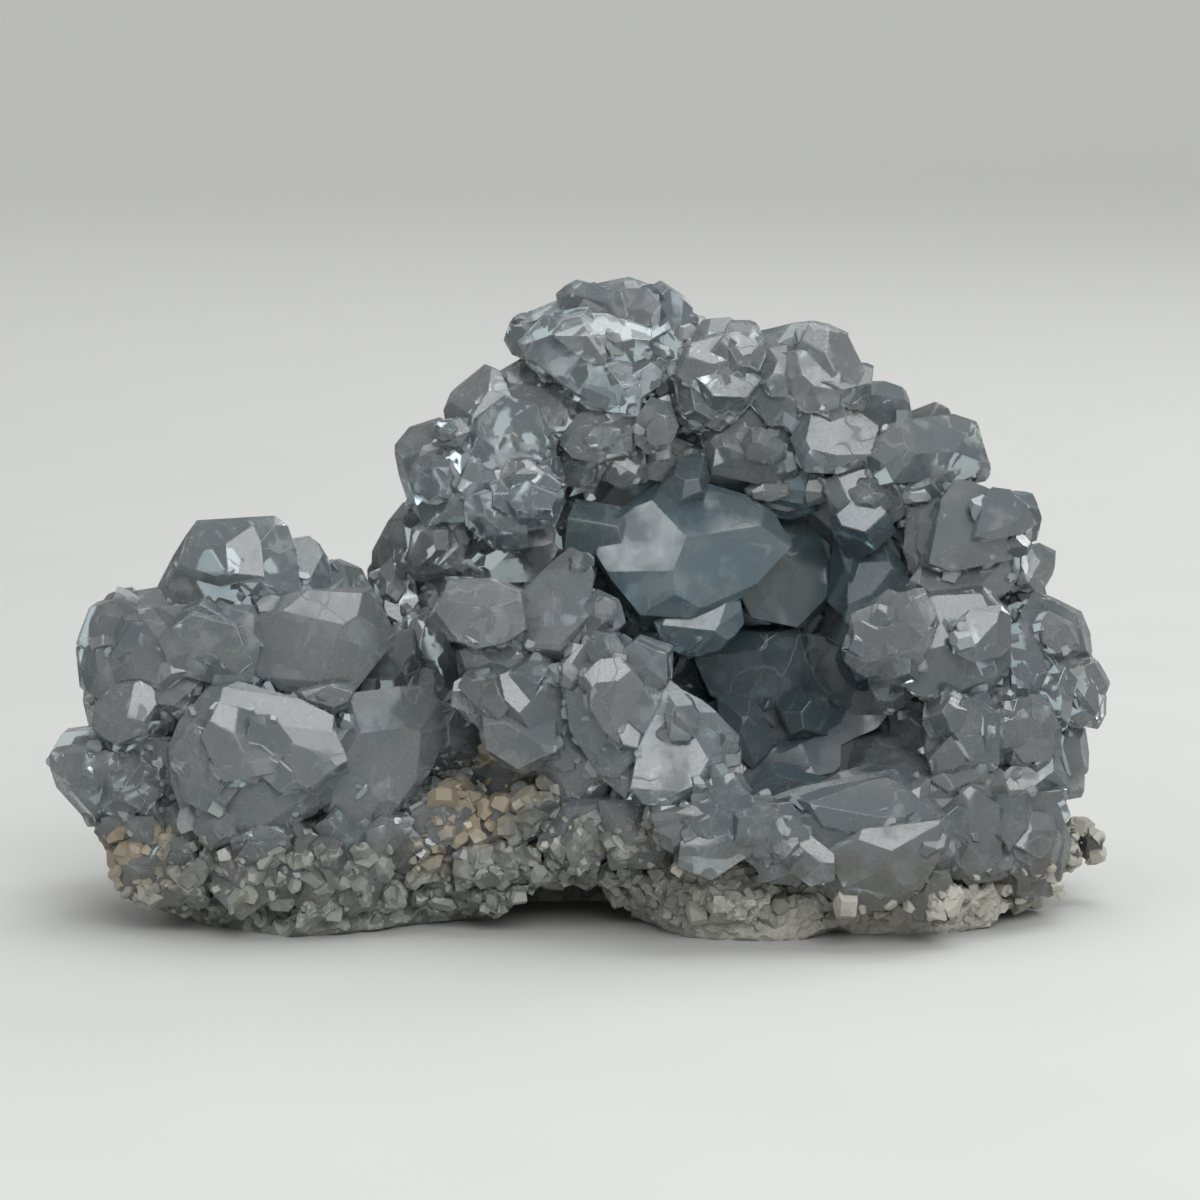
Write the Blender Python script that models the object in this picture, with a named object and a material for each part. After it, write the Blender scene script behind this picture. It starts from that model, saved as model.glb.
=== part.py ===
"""A celestite geode, broken open: a rough stone rind, the pale blue crystals grown on it, and the
crust of crystals that lines its hollow.

Lengths are millimetres until a mesh is finished, and then metres. X runs to the right of the front
view, Y to the back and Z up. The stone rests on Z = 0.
"""

import math
import random
from collections import namedtuple

import bmesh
import bpy
from mathutils import Matrix, Quaternion, Vector, noise

MM = 0.001

# Driving dimensions
LENGTH = 106.0
GAP = 0.3
ARCH_WIDTH = 15.0
ARCH_HEIGHT = 5.6
ARCH_CENTRE = -3.0
ARCH_BACK = -2.0

# The front view that the crystals' outlines are drawn on: a card standing at CARD_Y, seen by an eye in
# front of it. (0, 0) on the card is the middle of the stone's foot.
CARD_LENGTH = 106.1
CARD_Y = -20.0
EYE_AXIS = (1.0, 33.8)
EYE_DISTANCE = 450.0
EYE_RISE = math.radians(9.0)

# Celestite's own angles between its flat face and the faces that slope away from it, measured from the girdle
SLOPES = (38.0, 51.0, 68.0)
TAPER = 7.0

# Celestite's cell edges, which give the directions of its faces
CELL = (8.36, 5.35, 6.87)
PRISM_FACES = ((0, 1, 1), (0, 1, -1), (0, -1, 1), (0, -1, -1), (0, 0, 1), (0, 0, -1))
TIP_FACES = ((2, 1, 0), (2, -1, 0), (1, 0, 1), (1, 0, -1))

Crystal = namedtuple("Crystal", "name depth turn tilt rise body outline")
Lump = namedtuple("Lump", "x y z rx ry rz")

# Rows of crystals: name, depth of the girdle, turn to the right and tilt up in degrees, height of the
# flat face over the girdle, length of the body behind it, and the girdle's outline on the card
LEFT_CRYSTALS = (
    Crystal("top_block", -9, -8, 14, 3.0, 14,
            ((-43.0, 33.8), (-41.0, 39.7), (-39.7, 41.5), (-31.4, 42.0), (-30.1, 41.0), (-29.3, 38.8),
             (-28.7, 33.3), (-36.0, 31.8))),
    Crystal("middle_block", -15, -4, 4, 2.2, 12,
            ((-43.2, 33.0), (-39.0, 33.2), (-33.5, 33.2), (-32.0, 29.3), (-32.8, 25.4), (-37.5, 24.6),
             (-42.0, 27.0))),
    Crystal("outer_block", -12, -22, 6, 2.6, 14,
            ((-48.6, 32.6), (-48.0, 34.0), (-43.0, 34.8), (-38.5, 28.8), (-37.7, 25.4), (-41.8, 22.1),
             (-48.7, 23.6), (-49.9, 27.0))),
    Crystal("right_block", -14, 14, 6, 3.2, 13,
            ((-32.8, 33.8), (-29.0, 34.6), (-21.8, 34.9), (-19.4, 30.1), (-23.8, 24.5), (-29.0, 24.3),
             (-32.8, 26.4), (-33.5, 29.8))),
    Crystal("shoulder", -8, 8, 24, 2.0, 12,
            ((-29.6, 40.4), (-28.0, 40.2), (-26.8, 39.3), (-25.7, 37.5), (-25.7, 33.8), (-29.4, 33.8))),
    Crystal("low_shoulder", -7, 24, 24, 1.8, 12,
            ((-26.2, 37.2), (-24.5, 38.2), (-22.8, 37.2), (-21.5, 34.6), (-21.0, 32.6), (-26.0, 32.6))),
    Crystal("white_knob", -16, -20, 10, 1.4, 10,
            ((-49.5, 21.4), (-48.7, 23.8), (-47.2, 25.5), (-45.3, 26.7), (-43.7, 26.1), (-43.0, 23.5),
             (-44.0, 20.8), (-47.0, 19.6))),
    Crystal("far_cloudy", -12, -28, -6, 2.4, 13,
            ((-53.0, 14.8), (-52.4, 16.8), (-51.0, 20.0), (-46.0, 20.8), (-41.8, 19.6), (-41.2, 16.8),
             (-42.8, 13.5), (-49.0, 12.9), (-52.7, 13.6))),
    Crystal("centre_cloudy", -19, -5, 0, 3.4, 13,
            ((-41.4, 19.3), (-40.5, 21.6), (-37.6, 25.0), (-34.8, 25.5), (-29.0, 23.8), (-25.7, 22.2),
             (-25.0, 17.8), (-26.0, 13.8), (-30.0, 11.3), (-37.5, 10.0), (-40.0, 12.3), (-41.2, 15.8))),
    Crystal("blue_block", -15, 20, 4, 2.6, 13,
            ((-25.9, 21.8), (-23.8, 24.3), (-17.0, 25.2), (-15.0, 23.6), (-14.3, 21.0), (-15.8, 17.0),
             (-18.2, 13.5), (-20.6, 11.6), (-24.5, 11.0), (-26.2, 13.3))),
    Crystal("white_flap", -17, 8, -20, 1.0, 7,
            ((-29.0, 24.6), (-25.5, 25.4), (-23.2, 25.2), (-24.0, 23.2), (-25.8, 22.2), (-27.6, 22.9))),
    Crystal("valley_blue", -6, 12, 6, 2.2, 12,
            ((-20.4, 30.0), (-18.5, 32.6), (-15.8, 32.5), (-13.5, 28.3), (-12.7, 23.8), (-13.8, 18.6),
             (-16.2, 13.8), (-19.5, 13.3), (-21.0, 23.8))),
    Crystal("valley_dark", -2, -10, 20, 1.6, 12,
            ((-21.4, 36.3), (-19.8, 37.8), (-17.8, 37.5), (-17.0, 33.8), (-18.5, 31.5), (-21.0, 32.3))),
    Crystal("valley_back", 0, 5, 14, 1.6, 12,
            ((-18.5, 33.8), (-16.0, 36.8), (-13.0, 37.8), (-11.5, 33.8), (-13.0, 29.8), (-16.5, 29.8))),
    Crystal("low_outer", -14, -18, -16, 1.6, 10,
            ((-49.2, 12.3), (-48.0, 13.5), (-41.0, 13.6), (-38.0, 10.6), (-41.0, 8.3), (-47.0, 9.2))),
    Crystal("low_white", -20.5, 0, -8, 1.0, 8,
            ((-39.5, 11.3), (-37.5, 13.8), (-34.5, 13.2), (-34.5, 10.4), (-37.5, 9.1))),
    Crystal("low_blue", -19, -4, -18, 1.8, 9,
            ((-38.3, 8.8), (-35.5, 10.3), (-30.5, 10.3), (-29.0, 8.6), (-30.5, 6.2), (-33.0, 4.4),
             (-36.5, 4.9), (-38.5, 6.6))),
    Crystal("low_grey", -18.5, 4, -14, 1.3, 8,
            ((-29.8, 8.8), (-26.0, 10.8), (-24.0, 9.4), (-24.5, 6.0), (-28.5, 5.0))),
    Crystal("low_right", -17, 12, -10, 1.6, 9,
            ((-25.2, 10.4), (-20.0, 12.3), (-18.0, 10.8), (-18.6, 7.4), (-22.0, 4.8), (-24.8, 5.9))),
    Crystal("low_brown", -17, -14, -24, 1.3, 9,
            ((-46.5, 8.4), (-41.0, 9.2), (-37.5, 7.0), (-38.6, 4.0), (-43.6, 4.6))),
)
CENTRE_CRYSTALS = (
    Crystal("white_tip", -19, -16, 6, 2.6, 10,
            ((-15.9, 31.8), (-13.9, 35.7), (-9.2, 35.9), (-7.0, 34.8), (-6.6, 31.0), (-8.7, 29.6),
             (-11.2, 29.1), (-13.3, 29.8))),
    Crystal("under_tip", -17, -10, -12, 1.4, 9,
            ((-12.8, 28.8), (-9.0, 30.0), (-6.0, 29.6), (-5.8, 27.0), (-9.0, 26.1), (-12.2, 27.1))),
    Crystal("finger", -16, -6, 26, 2.4, 12,
            ((-6.9, 33.3), (-6.2, 35.2), (-3.5, 37.7), (-2.0, 38.9), (-0.4, 38.2), (0.3, 36.3),
             (-0.3, 31.8), (-3.0, 29.0), (-6.4, 29.4))),
    Crystal("button", -17, 6, 12, 1.6, 9,
            ((-1.4, 33.0), (0.8, 34.8), (2.9, 33.8), (3.5, 31.6), (1.6, 29.4), (-1.2, 30.0))),
    Crystal("front_wall", -20, 4, -4, 3.2, 12,
            ((-2.9, 27.0), (0.0, 29.8), (3.5, 30.2), (6.5, 28.2), (8.0, 25.3), (7.2, 22.0), (3.6, 14.4),
             (1.0, 16.6), (-1.8, 21.0))),
    Crystal("left_wall", -17, -26, -6, 2.4, 11,
            ((-13.5, 27.2), (-10.5, 28.6), (-5.0, 28.0), (-2.4, 23.8), (-2.0, 17.0), (-5.0, 17.4),
             (-9.2, 20.0), (-11.8, 23.6))),
    Crystal("wall_foot", -18, -6, -16, 1.8, 9,
            ((-4.8, 22.2), (-1.0, 21.8), (2.6, 16.3), (1.2, 13.2), (-3.0, 13.6), (-5.6, 17.4))),
    Crystal("front_right", -24, 12, 6, 2.8, 11,
            ((4.2, 15.3), (5.0, 19.3), (7.3, 24.5), (9.2, 25.0), (11.2, 23.8), (14.6, 20.3), (14.3, 18.1),
             (11.5, 14.4), (9.0, 13.3), (5.5, 13.8))),
    Crystal("overgrowth", -25.5, 6, 18, 1.6, 5,
            ((7.4, 22.6), (7.8, 24.4), (9.8, 24.6), (11.0, 22.2), (9.8, 20.0), (8.0, 20.0))),
    Crystal("small_beside", -21, 16, 0, 1.2, 8,
            ((10.8, 15.8), (12.8, 17.0), (15.0, 16.6), (15.9, 14.8), (14.8, 12.2), (12.2, 12.2))),
    Crystal("white_shield", -25, 8, -10, 1.6, 8,
            ((6.2, 12.6), (11.0, 13.9), (13.6, 14.3), (15.1, 12.5), (15.7, 10.3), (14.8, 8.8), (13.4, 8.2),
             (9.0, 8.4), (7.2, 9.9))),
    Crystal("brown_clear", -24, 2, -8, 1.8, 8,
            ((15.7, 11.8), (17.6, 13.4), (20.2, 13.2), (22.6, 10.8), (23.0, 7.8), (20.5, 5.6), (17.2, 6.0),
             (15.6, 9.0))),
    Crystal("low_middle_a", -19, -6, -14, 1.4, 8,
            ((-5.0, 10.3), (-2.0, 13.8), (1.4, 14.0), (2.4, 9.8), (0.4, 7.0), (-4.0, 7.2))),
    Crystal("low_middle_b", -20, 2, -16, 1.4, 8,
            ((1.0, 13.8), (6.4, 14.0), (8.4, 10.3), (6.6, 7.2), (1.8, 7.6))),
    Crystal("low_middle_c", -17, -10, -6, 1.6, 9,
            ((-11.0, 13.2), (-7.0, 15.0), (-3.6, 14.0), (-4.2, 10.8), (-7.6, 9.2), (-10.8, 10.6))),
    Crystal("low_middle_d", -17, 6, -12, 1.4, 8,
            ((-17.6, 12.6), (-14.6, 14.4), (-11.4, 12.8), (-11.8, 9.6), (-14.8, 8.4), (-17.2, 9.6))),
    Crystal("low_middle_e", -18, -4, -24, 1.2, 8,
            ((-13.4, 8.4), (-9.6, 9.4), (-5.2, 8.2), (-5.8, 5.8), (-9.4, 5.2), (-12.8, 6.0))),
    Crystal("slab_top", -22, 4, 30, 2.0, 10,
            ((17.0, 13.8), (21.0, 15.2), (31.5, 17.2), (33.2, 16.0), (35.4, 11.8), (33.5, 8.6), (28.0, 8.4),
             (21.6, 9.6))),
    Crystal("slab_low", -25, 4, -16, 2.0, 9,
            ((22.0, 5.3), (23.8, 8.8), (27.0, 10.9), (35.2, 11.9), (34.8, 8.8), (32.5, 4.8), (29.0, 3.1),
             (24.6, 3.4))),
    Crystal("low_tooth", -23, 8, -10, 1.2, 7,
            ((31.3, 4.0), (33.2, 6.9), (35.5, 6.9), (36.4, 4.3), (35.0, 1.8), (32.2, 2.0))),
)
RIGHT_CRYSTALS = (
    Crystal("grey_face", -17, 16, -6, 1.2, 9,
            ((34.6, 10.8), (35.5, 12.9), (40.2, 13.4), (41.4, 9.8), (41.2, 5.6), (37.0, 5.8), (34.8, 7.9))),
    Crystal("tall_block", -13, 24, -2, 2.0, 10,
            ((40.1, 12.3), (41.8, 14.8), (46.0, 14.4), (47.6, 9.8), (46.2, 5.0), (42.5, 4.2), (40.4, 6.4))),
    Crystal("spur", -2, 40, 10, 1.8, 11,
            ((46.6, 10.3), (47.8, 13.6), (50.2, 14.2), (52.5, 13.1), (53.1, 11.8), (51.0, 9.2), (49.0, 7.9),
             (47.0, 8.2))),
    Crystal("white_round", -15, -12, 4, 2.6, 11,
            ((25.8, 28.3), (26.0, 30.3), (27.2, 33.0), (29.5, 34.7), (31.8, 34.0), (33.4, 30.8), (33.5, 27.8),
             (31.5, 25.3), (28.2, 25.8), (26.3, 27.0))),
    Crystal("big_face", -13, 16, 2, 3.2, 12,
            ((31.2, 31.0), (34.0, 34.0), (39.5, 34.9), (41.5, 32.8), (41.5, 26.8), (39.5, 25.0), (34.0, 23.9),
             (31.4, 25.4))),
    Crystal("clear_small", -13, 4, -20, 1.2, 8,
            ((27.6, 25.9), (31.0, 25.8), (32.0, 24.2), (30.2, 22.6), (28.0, 23.3))),
    Crystal("upper_face", -9, 26, 12, 3.0, 12,
            ((33.8, 37.6), (35.0, 43.8), (36.5, 45.6), (39.5, 45.2), (42.2, 42.7), (43.9, 39.5), (41.5, 37.9),
             (36.0, 36.8))),
    Crystal("upper_inner", -8, -6, 4, 1.6, 10,
            ((31.1, 38.8), (31.5, 43.5), (34.4, 44.2), (35.6, 41.8), (34.7, 37.0), (32.0, 36.3))),
    Crystal("back_white", 0, 40, 10, 1.6, 10,
            ((40.6, 43.0), (42.2, 44.7), (43.8, 44.3), (44.7, 41.8), (44.2, 39.8), (41.5, 38.8))),
    Crystal("right_small", -4, 36, 0, 1.6, 10,
            ((43.0, 38.6), (44.5, 39.4), (46.1, 38.6), (45.9, 36.3), (44.5, 34.2), (42.4, 35.4))),
    Crystal("rim_high", -4, 42, 4, 1.8, 11,
            ((42.8, 32.6), (44.2, 34.8), (46.2, 33.8), (48.5, 32.8), (49.4, 30.6), (49.7, 28.0), (46.0, 27.2),
             (43.2, 29.2))),
    Crystal("rim_middle", -4, 44, -4, 1.8, 11,
            ((44.8, 27.8), (49.6, 28.6), (50.4, 24.2), (50.7, 22.0), (48.5, 21.2), (45.4, 22.0))),
    Crystal("rim_low", -3, 44, -8, 1.6, 11,
            ((45.2, 22.3), (48.4, 21.9), (49.0, 17.8), (48.6, 14.4), (46.0, 14.0), (44.6, 18.8))),
    Crystal("middle_a", -15, 10, -6, 2.2, 10,
            ((33.3, 19.3), (34.0, 23.5), (37.0, 24.4), (39.7, 22.5), (40.5, 18.3), (37.5, 16.6),
             (33.8, 16.9))),
    Crystal("middle_b", -11, 24, -2, 2.2, 10,
            ((38.3, 22.0), (40.8, 24.8), (45.2, 24.2), (46.6, 20.3), (44.4, 17.2), (39.8, 17.6))),
    Crystal("middle_c", -16, 14, -14, 1.4, 8,
            ((33.8, 16.1), (37.0, 17.6), (40.7, 17.0), (41.6, 14.3), (38.5, 12.9), (35.2, 13.3))),
    Crystal("middle_d", -12, 26, -8, 1.8, 9,
            ((40.7, 16.3), (43.5, 18.8), (46.2, 18.6), (47.6, 14.8), (45.2, 13.2), (41.2, 13.6))),
    Crystal("inner_strip", -9, 30, 0, 1.4, 9,
            ((40.8, 30.0), (43.9, 30.6), (45.4, 26.0), (44.4, 23.4), (41.0, 24.0))),
    Crystal("brow", -10, 18, 16, 1.2, 9,
            ((31.2, 35.0), (33.0, 37.2), (41.0, 38.4), (42.6, 35.3), (39.5, 33.8), (33.6, 33.2))),
)
TOP_CRYSTALS = (
    Crystal("dark_block", -6, -26, 18, 2.4, 11,
            ((-14.4, 52.6), (-13.5, 54.8), (-10.6, 57.1), (-9.0, 56.4), (-7.8, 53.8), (-9.0, 50.4),
             (-12.0, 49.0), (-14.0, 50.1))),
    Crystal("dark_ridge", -5, -6, 26, 2.2, 11,
            ((-9.4, 56.0), (-6.5, 57.7), (-2.8, 56.5), (1.0, 53.8), (1.2, 51.0), (-3.0, 50.2), (-8.4, 52.6))),
    Crystal("far_left", -8, -32, 8, 2.4, 12,
            ((-19.2, 49.1), (-17.8, 50.8), (-15.0, 51.7), (-11.8, 50.8), (-10.8, 46.8), (-12.6, 42.6),
             (-16.0, 41.2), (-18.4, 43.6), (-19.1, 46.3))),
    Crystal("white_cap", -10, -20, 14, 1.2, 6,
            ((-15.5, 50.6), (-14.8, 51.7), (-12.8, 51.8), (-11.9, 50.6), (-12.8, 49.0), (-14.8, 49.0))),
    Crystal("left_face", -10, -10, 8, 2.2, 11,
            ((-12.2, 48.3), (-11.2, 51.8), (-8.5, 53.9), (-5.4, 53.1), (-3.8, 49.8), (-5.0, 47.6),
             (-8.0, 46.2), (-10.8, 46.2))),
    Crystal("left_low", -10, -4, -4, 2.2, 11,
            ((-12.3, 41.8), (-11.9, 45.2), (-8.5, 47.7), (-3.2, 47.9), (-2.5, 45.8), (-3.8, 42.9),
             (-8.5, 40.6), (-11.6, 39.9))),
    Crystal("hanging_tip", -7, -24, -10, 2.0, 11,
            ((-18.2, 36.8), (-17.6, 40.8), (-15.0, 42.6), (-12.6, 40.6), (-12.6, 37.8), (-15.0, 36.1),
             (-17.0, 35.5))),
    Crystal("big_face", -9, -10, 16, 2.8, 11,
            ((-6.9, 59.3), (-4.5, 61.8), (0.0, 62.8), (2.8, 59.6), (4.9, 55.0), (4.6, 52.5), (1.6, 52.6),
             (-2.2, 55.0), (-6.2, 58.0))),
    Crystal("left_horn", -4, -30, 18, 2.0, 11,
            ((-8.7, 60.1), (-7.8, 61.6), (-2.8, 63.6), (0.6, 63.4), (0.6, 60.0), (-5.6, 57.6), (-7.6, 58.2))),
    Crystal("crest", -5, -4, 34, 2.4, 12,
            ((-2.6, 63.3), (0.5, 65.0), (3.2, 65.9), (6.2, 64.8), (7.8, 60.8), (5.0, 56.8), (1.6, 58.2),
             (-1.2, 60.4))),
    Crystal("crest_right", -5, 14, 30, 2.2, 12,
            ((5.2, 64.3), (7.2, 65.4), (9.2, 64.1), (10.1, 62.6), (10.0, 58.4), (7.8, 56.0), (5.2, 56.4),
             (4.6, 60.8))),
    Crystal("crest_small", -10, 0, 10, 1.2, 7,
            ((2.6, 56.6), (5.0, 58.0), (7.2, 57.1), (6.9, 55.1), (5.0, 53.9), (3.0, 54.6))),
    Crystal("under_crest", -10, -4, -2, 1.6, 10,
            ((-3.0, 49.8), (-1.0, 52.2), (3.0, 53.0), (5.1, 51.5), (4.2, 48.6), (1.0, 47.4), (-1.7, 47.9))),
    Crystal("under_crest_round", -11, 6, -4, 1.6, 9,
            ((4.4, 51.4), (6.0, 53.8), (7.9, 53.3), (8.7, 51.0), (7.9, 48.9), (5.8, 48.3), (4.5, 49.4))),
    Crystal("middle_block", -8, 6, 12, 2.8, 12,
            ((9.0, 53.8), (10.0, 59.3), (11.2, 61.4), (13.8, 61.6), (17.4, 59.2), (17.5, 55.3), (15.0, 52.4),
             (12.2, 51.0), (9.6, 52.1))),
    Crystal("notch", -3, 0, 24, 1.6, 10,
            ((8.8, 62.4), (10.2, 62.8), (12.0, 61.3), (11.6, 53.2), (7.4, 53.2))),
    Crystal("right_a", -7, 4, 10, 1.6, 10,
            ((15.4, 54.0), (17.4, 58.9), (20.2, 59.4), (21.2, 56.3), (20.4, 51.2), (17.8, 51.2))),
    Crystal("right_b", -6, 14, 22, 2.4, 11,
            ((19.8, 58.6), (21.0, 59.7), (23.0, 60.1), (25.6, 58.8), (27.4, 55.6), (27.2, 52.9), (24.0, 51.8),
             (20.6, 53.4))),
    Crystal("right_back", 1, 24, 20, 1.8, 10,
            ((26.4, 55.4), (29.5, 55.4), (31.4, 54.6), (31.8, 52.0), (29.5, 50.2), (26.6, 51.0))),
    Crystal("right_low", -8, 8, 2, 2.0, 10,
            ((20.0, 49.8), (21.5, 53.0), (25.5, 53.4), (28.4, 51.0), (28.0, 47.4), (24.5, 46.4),
             (21.3, 46.6))),
    Crystal("horn", -3, 40, 12, 3.0, 14,
            ((28.6, 48.8), (30.2, 51.4), (36.0, 52.1), (38.8, 51.2), (41.0, 49.8), (42.1, 48.0), (40.5, 46.5),
             (35.5, 45.6), (30.3, 45.6))),
    Crystal("horn_foot", -6, 20, -8, 1.4, 9,
            ((29.3, 45.8), (34.0, 46.8), (35.8, 44.3), (33.5, 42.2), (30.4, 42.8))),
    Crystal("dark_oval", -7, 0, -14, 1.8, 9,
            ((11.0, 49.8), (13.2, 52.8), (15.8, 53.0), (20.4, 49.8), (20.6, 46.4), (17.5, 45.2),
             (12.2, 46.4))),
    Crystal("round_a", -8, -10, -8, 1.4, 8,
            ((-3.2, 47.6), (-1.6, 49.8), (0.8, 49.4), (1.6, 46.8), (0.0, 44.8), (-2.4, 45.2))),
    Crystal("round_b", -8, 0, -12, 1.4, 8,
            ((1.2, 47.8), (3.2, 49.6), (5.4, 48.4), (5.6, 45.8), (3.4, 44.6), (1.4, 45.8))),
    Crystal("round_c", -7, 6, -12, 1.4, 8,
            ((5.4, 47.6), (7.4, 49.6), (10.6, 48.6), (11.4, 46.4), (8.6, 45.4), (5.8, 45.8))),
    Crystal("ledge_left", -6, -4, -10, 1.2, 8,
            ((15.4, 44.8), (18.0, 46.4), (23.0, 46.2), (23.6, 43.6), (19.6, 42.6), (15.8, 43.2))),
    Crystal("ledge_right", -7, 8, -6, 1.4, 8,
            ((23.2, 45.6), (26.4, 47.0), (30.6, 46.2), (31.6, 42.6), (29.0, 40.8), (24.0, 42.4))),
    Crystal("dark_left", -5, 10, -4, 1.8, 8,
            ((-11.6, 37.8), (-9.4, 41.4), (-6.0, 43.6), (-3.2, 43.6), (-2.4, 38.6), (-4.5, 35.8),
             (-9.4, 35.6))),
    Crystal("dark_inner", -4, 14, -2, 1.6, 8,
            ((-3.0, 42.6), (-1.2, 44.6), (1.4, 43.8), (1.6, 38.4), (-0.4, 36.6), (-2.8, 37.4))),
)
POCKET_CRYSTALS = (
    Crystal("centre", -9, 4, 16, 3.6, 11,
            ((0.7, 39.0), (3.5, 42.8), (8.2, 46.1), (15.2, 44.0), (17.9, 42.4), (19.7, 39.3), (15.2, 34.4),
             (10.0, 32.3), (5.2, 32.6), (2.4, 36.0))),
    Crystal("below_centre", -11, 2, -12, 1.6, 8,
            ((6.5, 31.6), (8.2, 33.0), (14.8, 33.6), (15.2, 31.3), (12.8, 28.9), (10.0, 28.1), (7.6, 29.0))),
    Crystal("right_blue", -3, 8, 2, 1.8, 9,
            ((14.6, 41.8), (21.0, 43.6), (24.4, 39.8), (24.4, 33.8), (21.4, 31.1), (16.2, 32.2),
             (14.6, 34.6))),
    Crystal("column", -4, -8, 0, 1.6, 8,
            ((23.6, 33.8), (24.2, 40.3), (26.5, 42.2), (28.2, 40.6), (27.6, 34.8), (25.5, 32.0))),
    Crystal("upper_dark", 1, 0, -14, 2.0, 8,
            ((14.6, 43.8), (17.0, 45.8), (24.0, 46.6), (28.0, 46.2), (31.0, 43.3), (31.2, 39.0), (28.5, 37.0),
             (21.0, 40.8))),
    Crystal("dark_middle", 0, 6, -10, 1.8, 8,
            ((0.6, 41.4), (1.2, 45.8), (5.0, 48.7), (10.0, 49.4), (11.6, 45.8), (6.4, 41.0))),
    Crystal("floor_dark", 1, -4, 12, 1.8, 8,
            ((17.6, 17.6), (19.8, 21.2), (24.0, 22.6), (27.4, 19.8), (28.2, 15.9), (21.0, 14.7))),
    Crystal("floor_right", -1, -12, 4, 1.8, 8,
            ((24.8, 21.8), (29.0, 24.4), (34.2, 24.2), (35.2, 19.8), (33.4, 16.7), (27.8, 16.2))),
    Crystal("middle_face", -2, 4, 4, 1.8, 8,
            ((10.6, 27.8), (13.0, 30.8), (21.2, 31.4), (22.2, 24.8), (20.2, 19.9), (16.5, 21.7),
             (12.1, 24.4))),
    Crystal("middle_small", -5, 0, 6, 1.4, 7,
            ((12.6, 24.3), (16.0, 24.4), (18.5, 19.8), (16.0, 17.2), (13.1, 19.8))),
    Crystal("slab", -2, -6, 0, 1.4, 8,
            ((21.6, 30.2), (25.0, 30.4), (26.6, 23.8), (24.4, 20.2), (21.6, 21.4))),
    Crystal("side_column", -6, -14, 4, 1.4, 8,
            ((25.2, 36.8), (28.8, 39.8), (31.8, 36.3), (29.0, 31.4), (25.1, 30.6))),
    Crystal("floor_step", -8, 0, 18, 1.2, 7,
            ((15.4, 14.8), (17.8, 17.8), (24.4, 16.8), (23.0, 13.8), (18.0, 12.8))),
)

# Rounded masses of crystal that the crystals grow from
CRUST_LUMPS = (
    Lump(16, 2, 25, 29, 12, 31),
    Lump(-33, -2, 19, 15, 12, 17),
    Lump(3, -7, 15, 19, 10, 13),
    Lump(-9, 3, 31, 12, 8, 12),
    Lump(29, -8, 12, 17, 12, 9),
    Lump(-28, -7, 11, 19, 11, 7),
)
# The stone rind: its base, its feet and its back
MATRIX_LUMPS = (
    Lump(0, 2, 6, 44, 21, 8),
    Lump(-27, -8, 3, 17, 12, 6),
    Lump(-37, 2, 6, 10, 13, 8),
    Lump(-24, 12, 4, 15, 11, 7),
    Lump(16, -12, 3, 13, 10, 6),
    Lump(31, -8, 3, 15, 12, 6),
    Lump(38, 4, 5, 10, 13, 8),
    Lump(22, 15, 4, 17, 11, 8),
    Lump(19, 10, 23, 26, 15, 29),
    Lump(-32, 6, 15, 13, 13, 17),
    Lump(-4, 9, 13, 20, 13, 13),
    Lump(-12, -10, 8, 9, 8, 8),
)
POCKET = Lump(14, -10, 30, 17, 13, 15)
POCKET_WALL = 3.0
MOUTH = Lump(14, -36, 32, 42, 33, 42)
LINING_COUNT = 44
LINING_FRONT = -12.0
CRUST_FLOOR = 6.0
MATRIX_GRAIN = 1.5
MATRIX_VOXEL = 1.5
MATRIX_FACES = 760
CRYSTAL_FACES = 5700
# The small crystals: how many each mass would carry all round, how deep they root, and what counts as
# the front. None grows below the rind's line, which rises towards the back.
SMALL_COUNTS = (58, 34, 12, 18, 16, 14)
SMALL_ROOT = 3.0
FRONT_LIMIT = -0.35
RIND_LINE = 12.0
RIND_RISE = 1.1


def on_card(u, v, depth):
    """The point at that depth that the eye sees at (u, v) on the card."""
    scale = LENGTH / CARD_LENGTH
    right = Vector((1, 0, 0))
    up = Vector((0, math.sin(EYE_RISE), math.cos(EYE_RISE)))
    ahead = Vector((0, math.cos(EYE_RISE), -math.sin(EYE_RISE)))
    foot = Vector((0, CARD_Y, 0))
    eye = foot + (right * EYE_AXIS[0] + up * EYE_AXIS[1]) * scale - ahead * EYE_DISTANCE
    spot = foot + (right * u + up * v) * scale
    return eye, eye + (spot - eye) * (depth - eye.y) / (spot.y - eye.y)


def facing(turn, tilt):
    """The direction of a face turned to the right and tilted up, in degrees, from straight at the eye."""
    a, b = math.radians(turn), math.radians(tilt) + EYE_RISE
    return Vector((math.sin(a) * math.cos(b), -math.cos(a) * math.cos(b), math.sin(b)))


def block(centre, reach):
    mesh = bmesh.new()
    bmesh.ops.create_cube(mesh, size=2 * reach, matrix=Matrix.Translation(centre))
    return mesh


def cut(mesh, point, normal):
    """Cuts away what lies beyond a flat face through point, and closes the cut."""
    everything = mesh.verts[:] + mesh.edges[:] + mesh.faces[:]
    found = bmesh.ops.bisect_plane(mesh, geom=everything, plane_co=point, plane_no=normal, clear_outer=True)
    rim = [item for item in found["geom_cut"] if isinstance(item, bmesh.types.BMEdge)]
    if rim:
        bmesh.ops.contextual_create(mesh, geom=rim)


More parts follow.
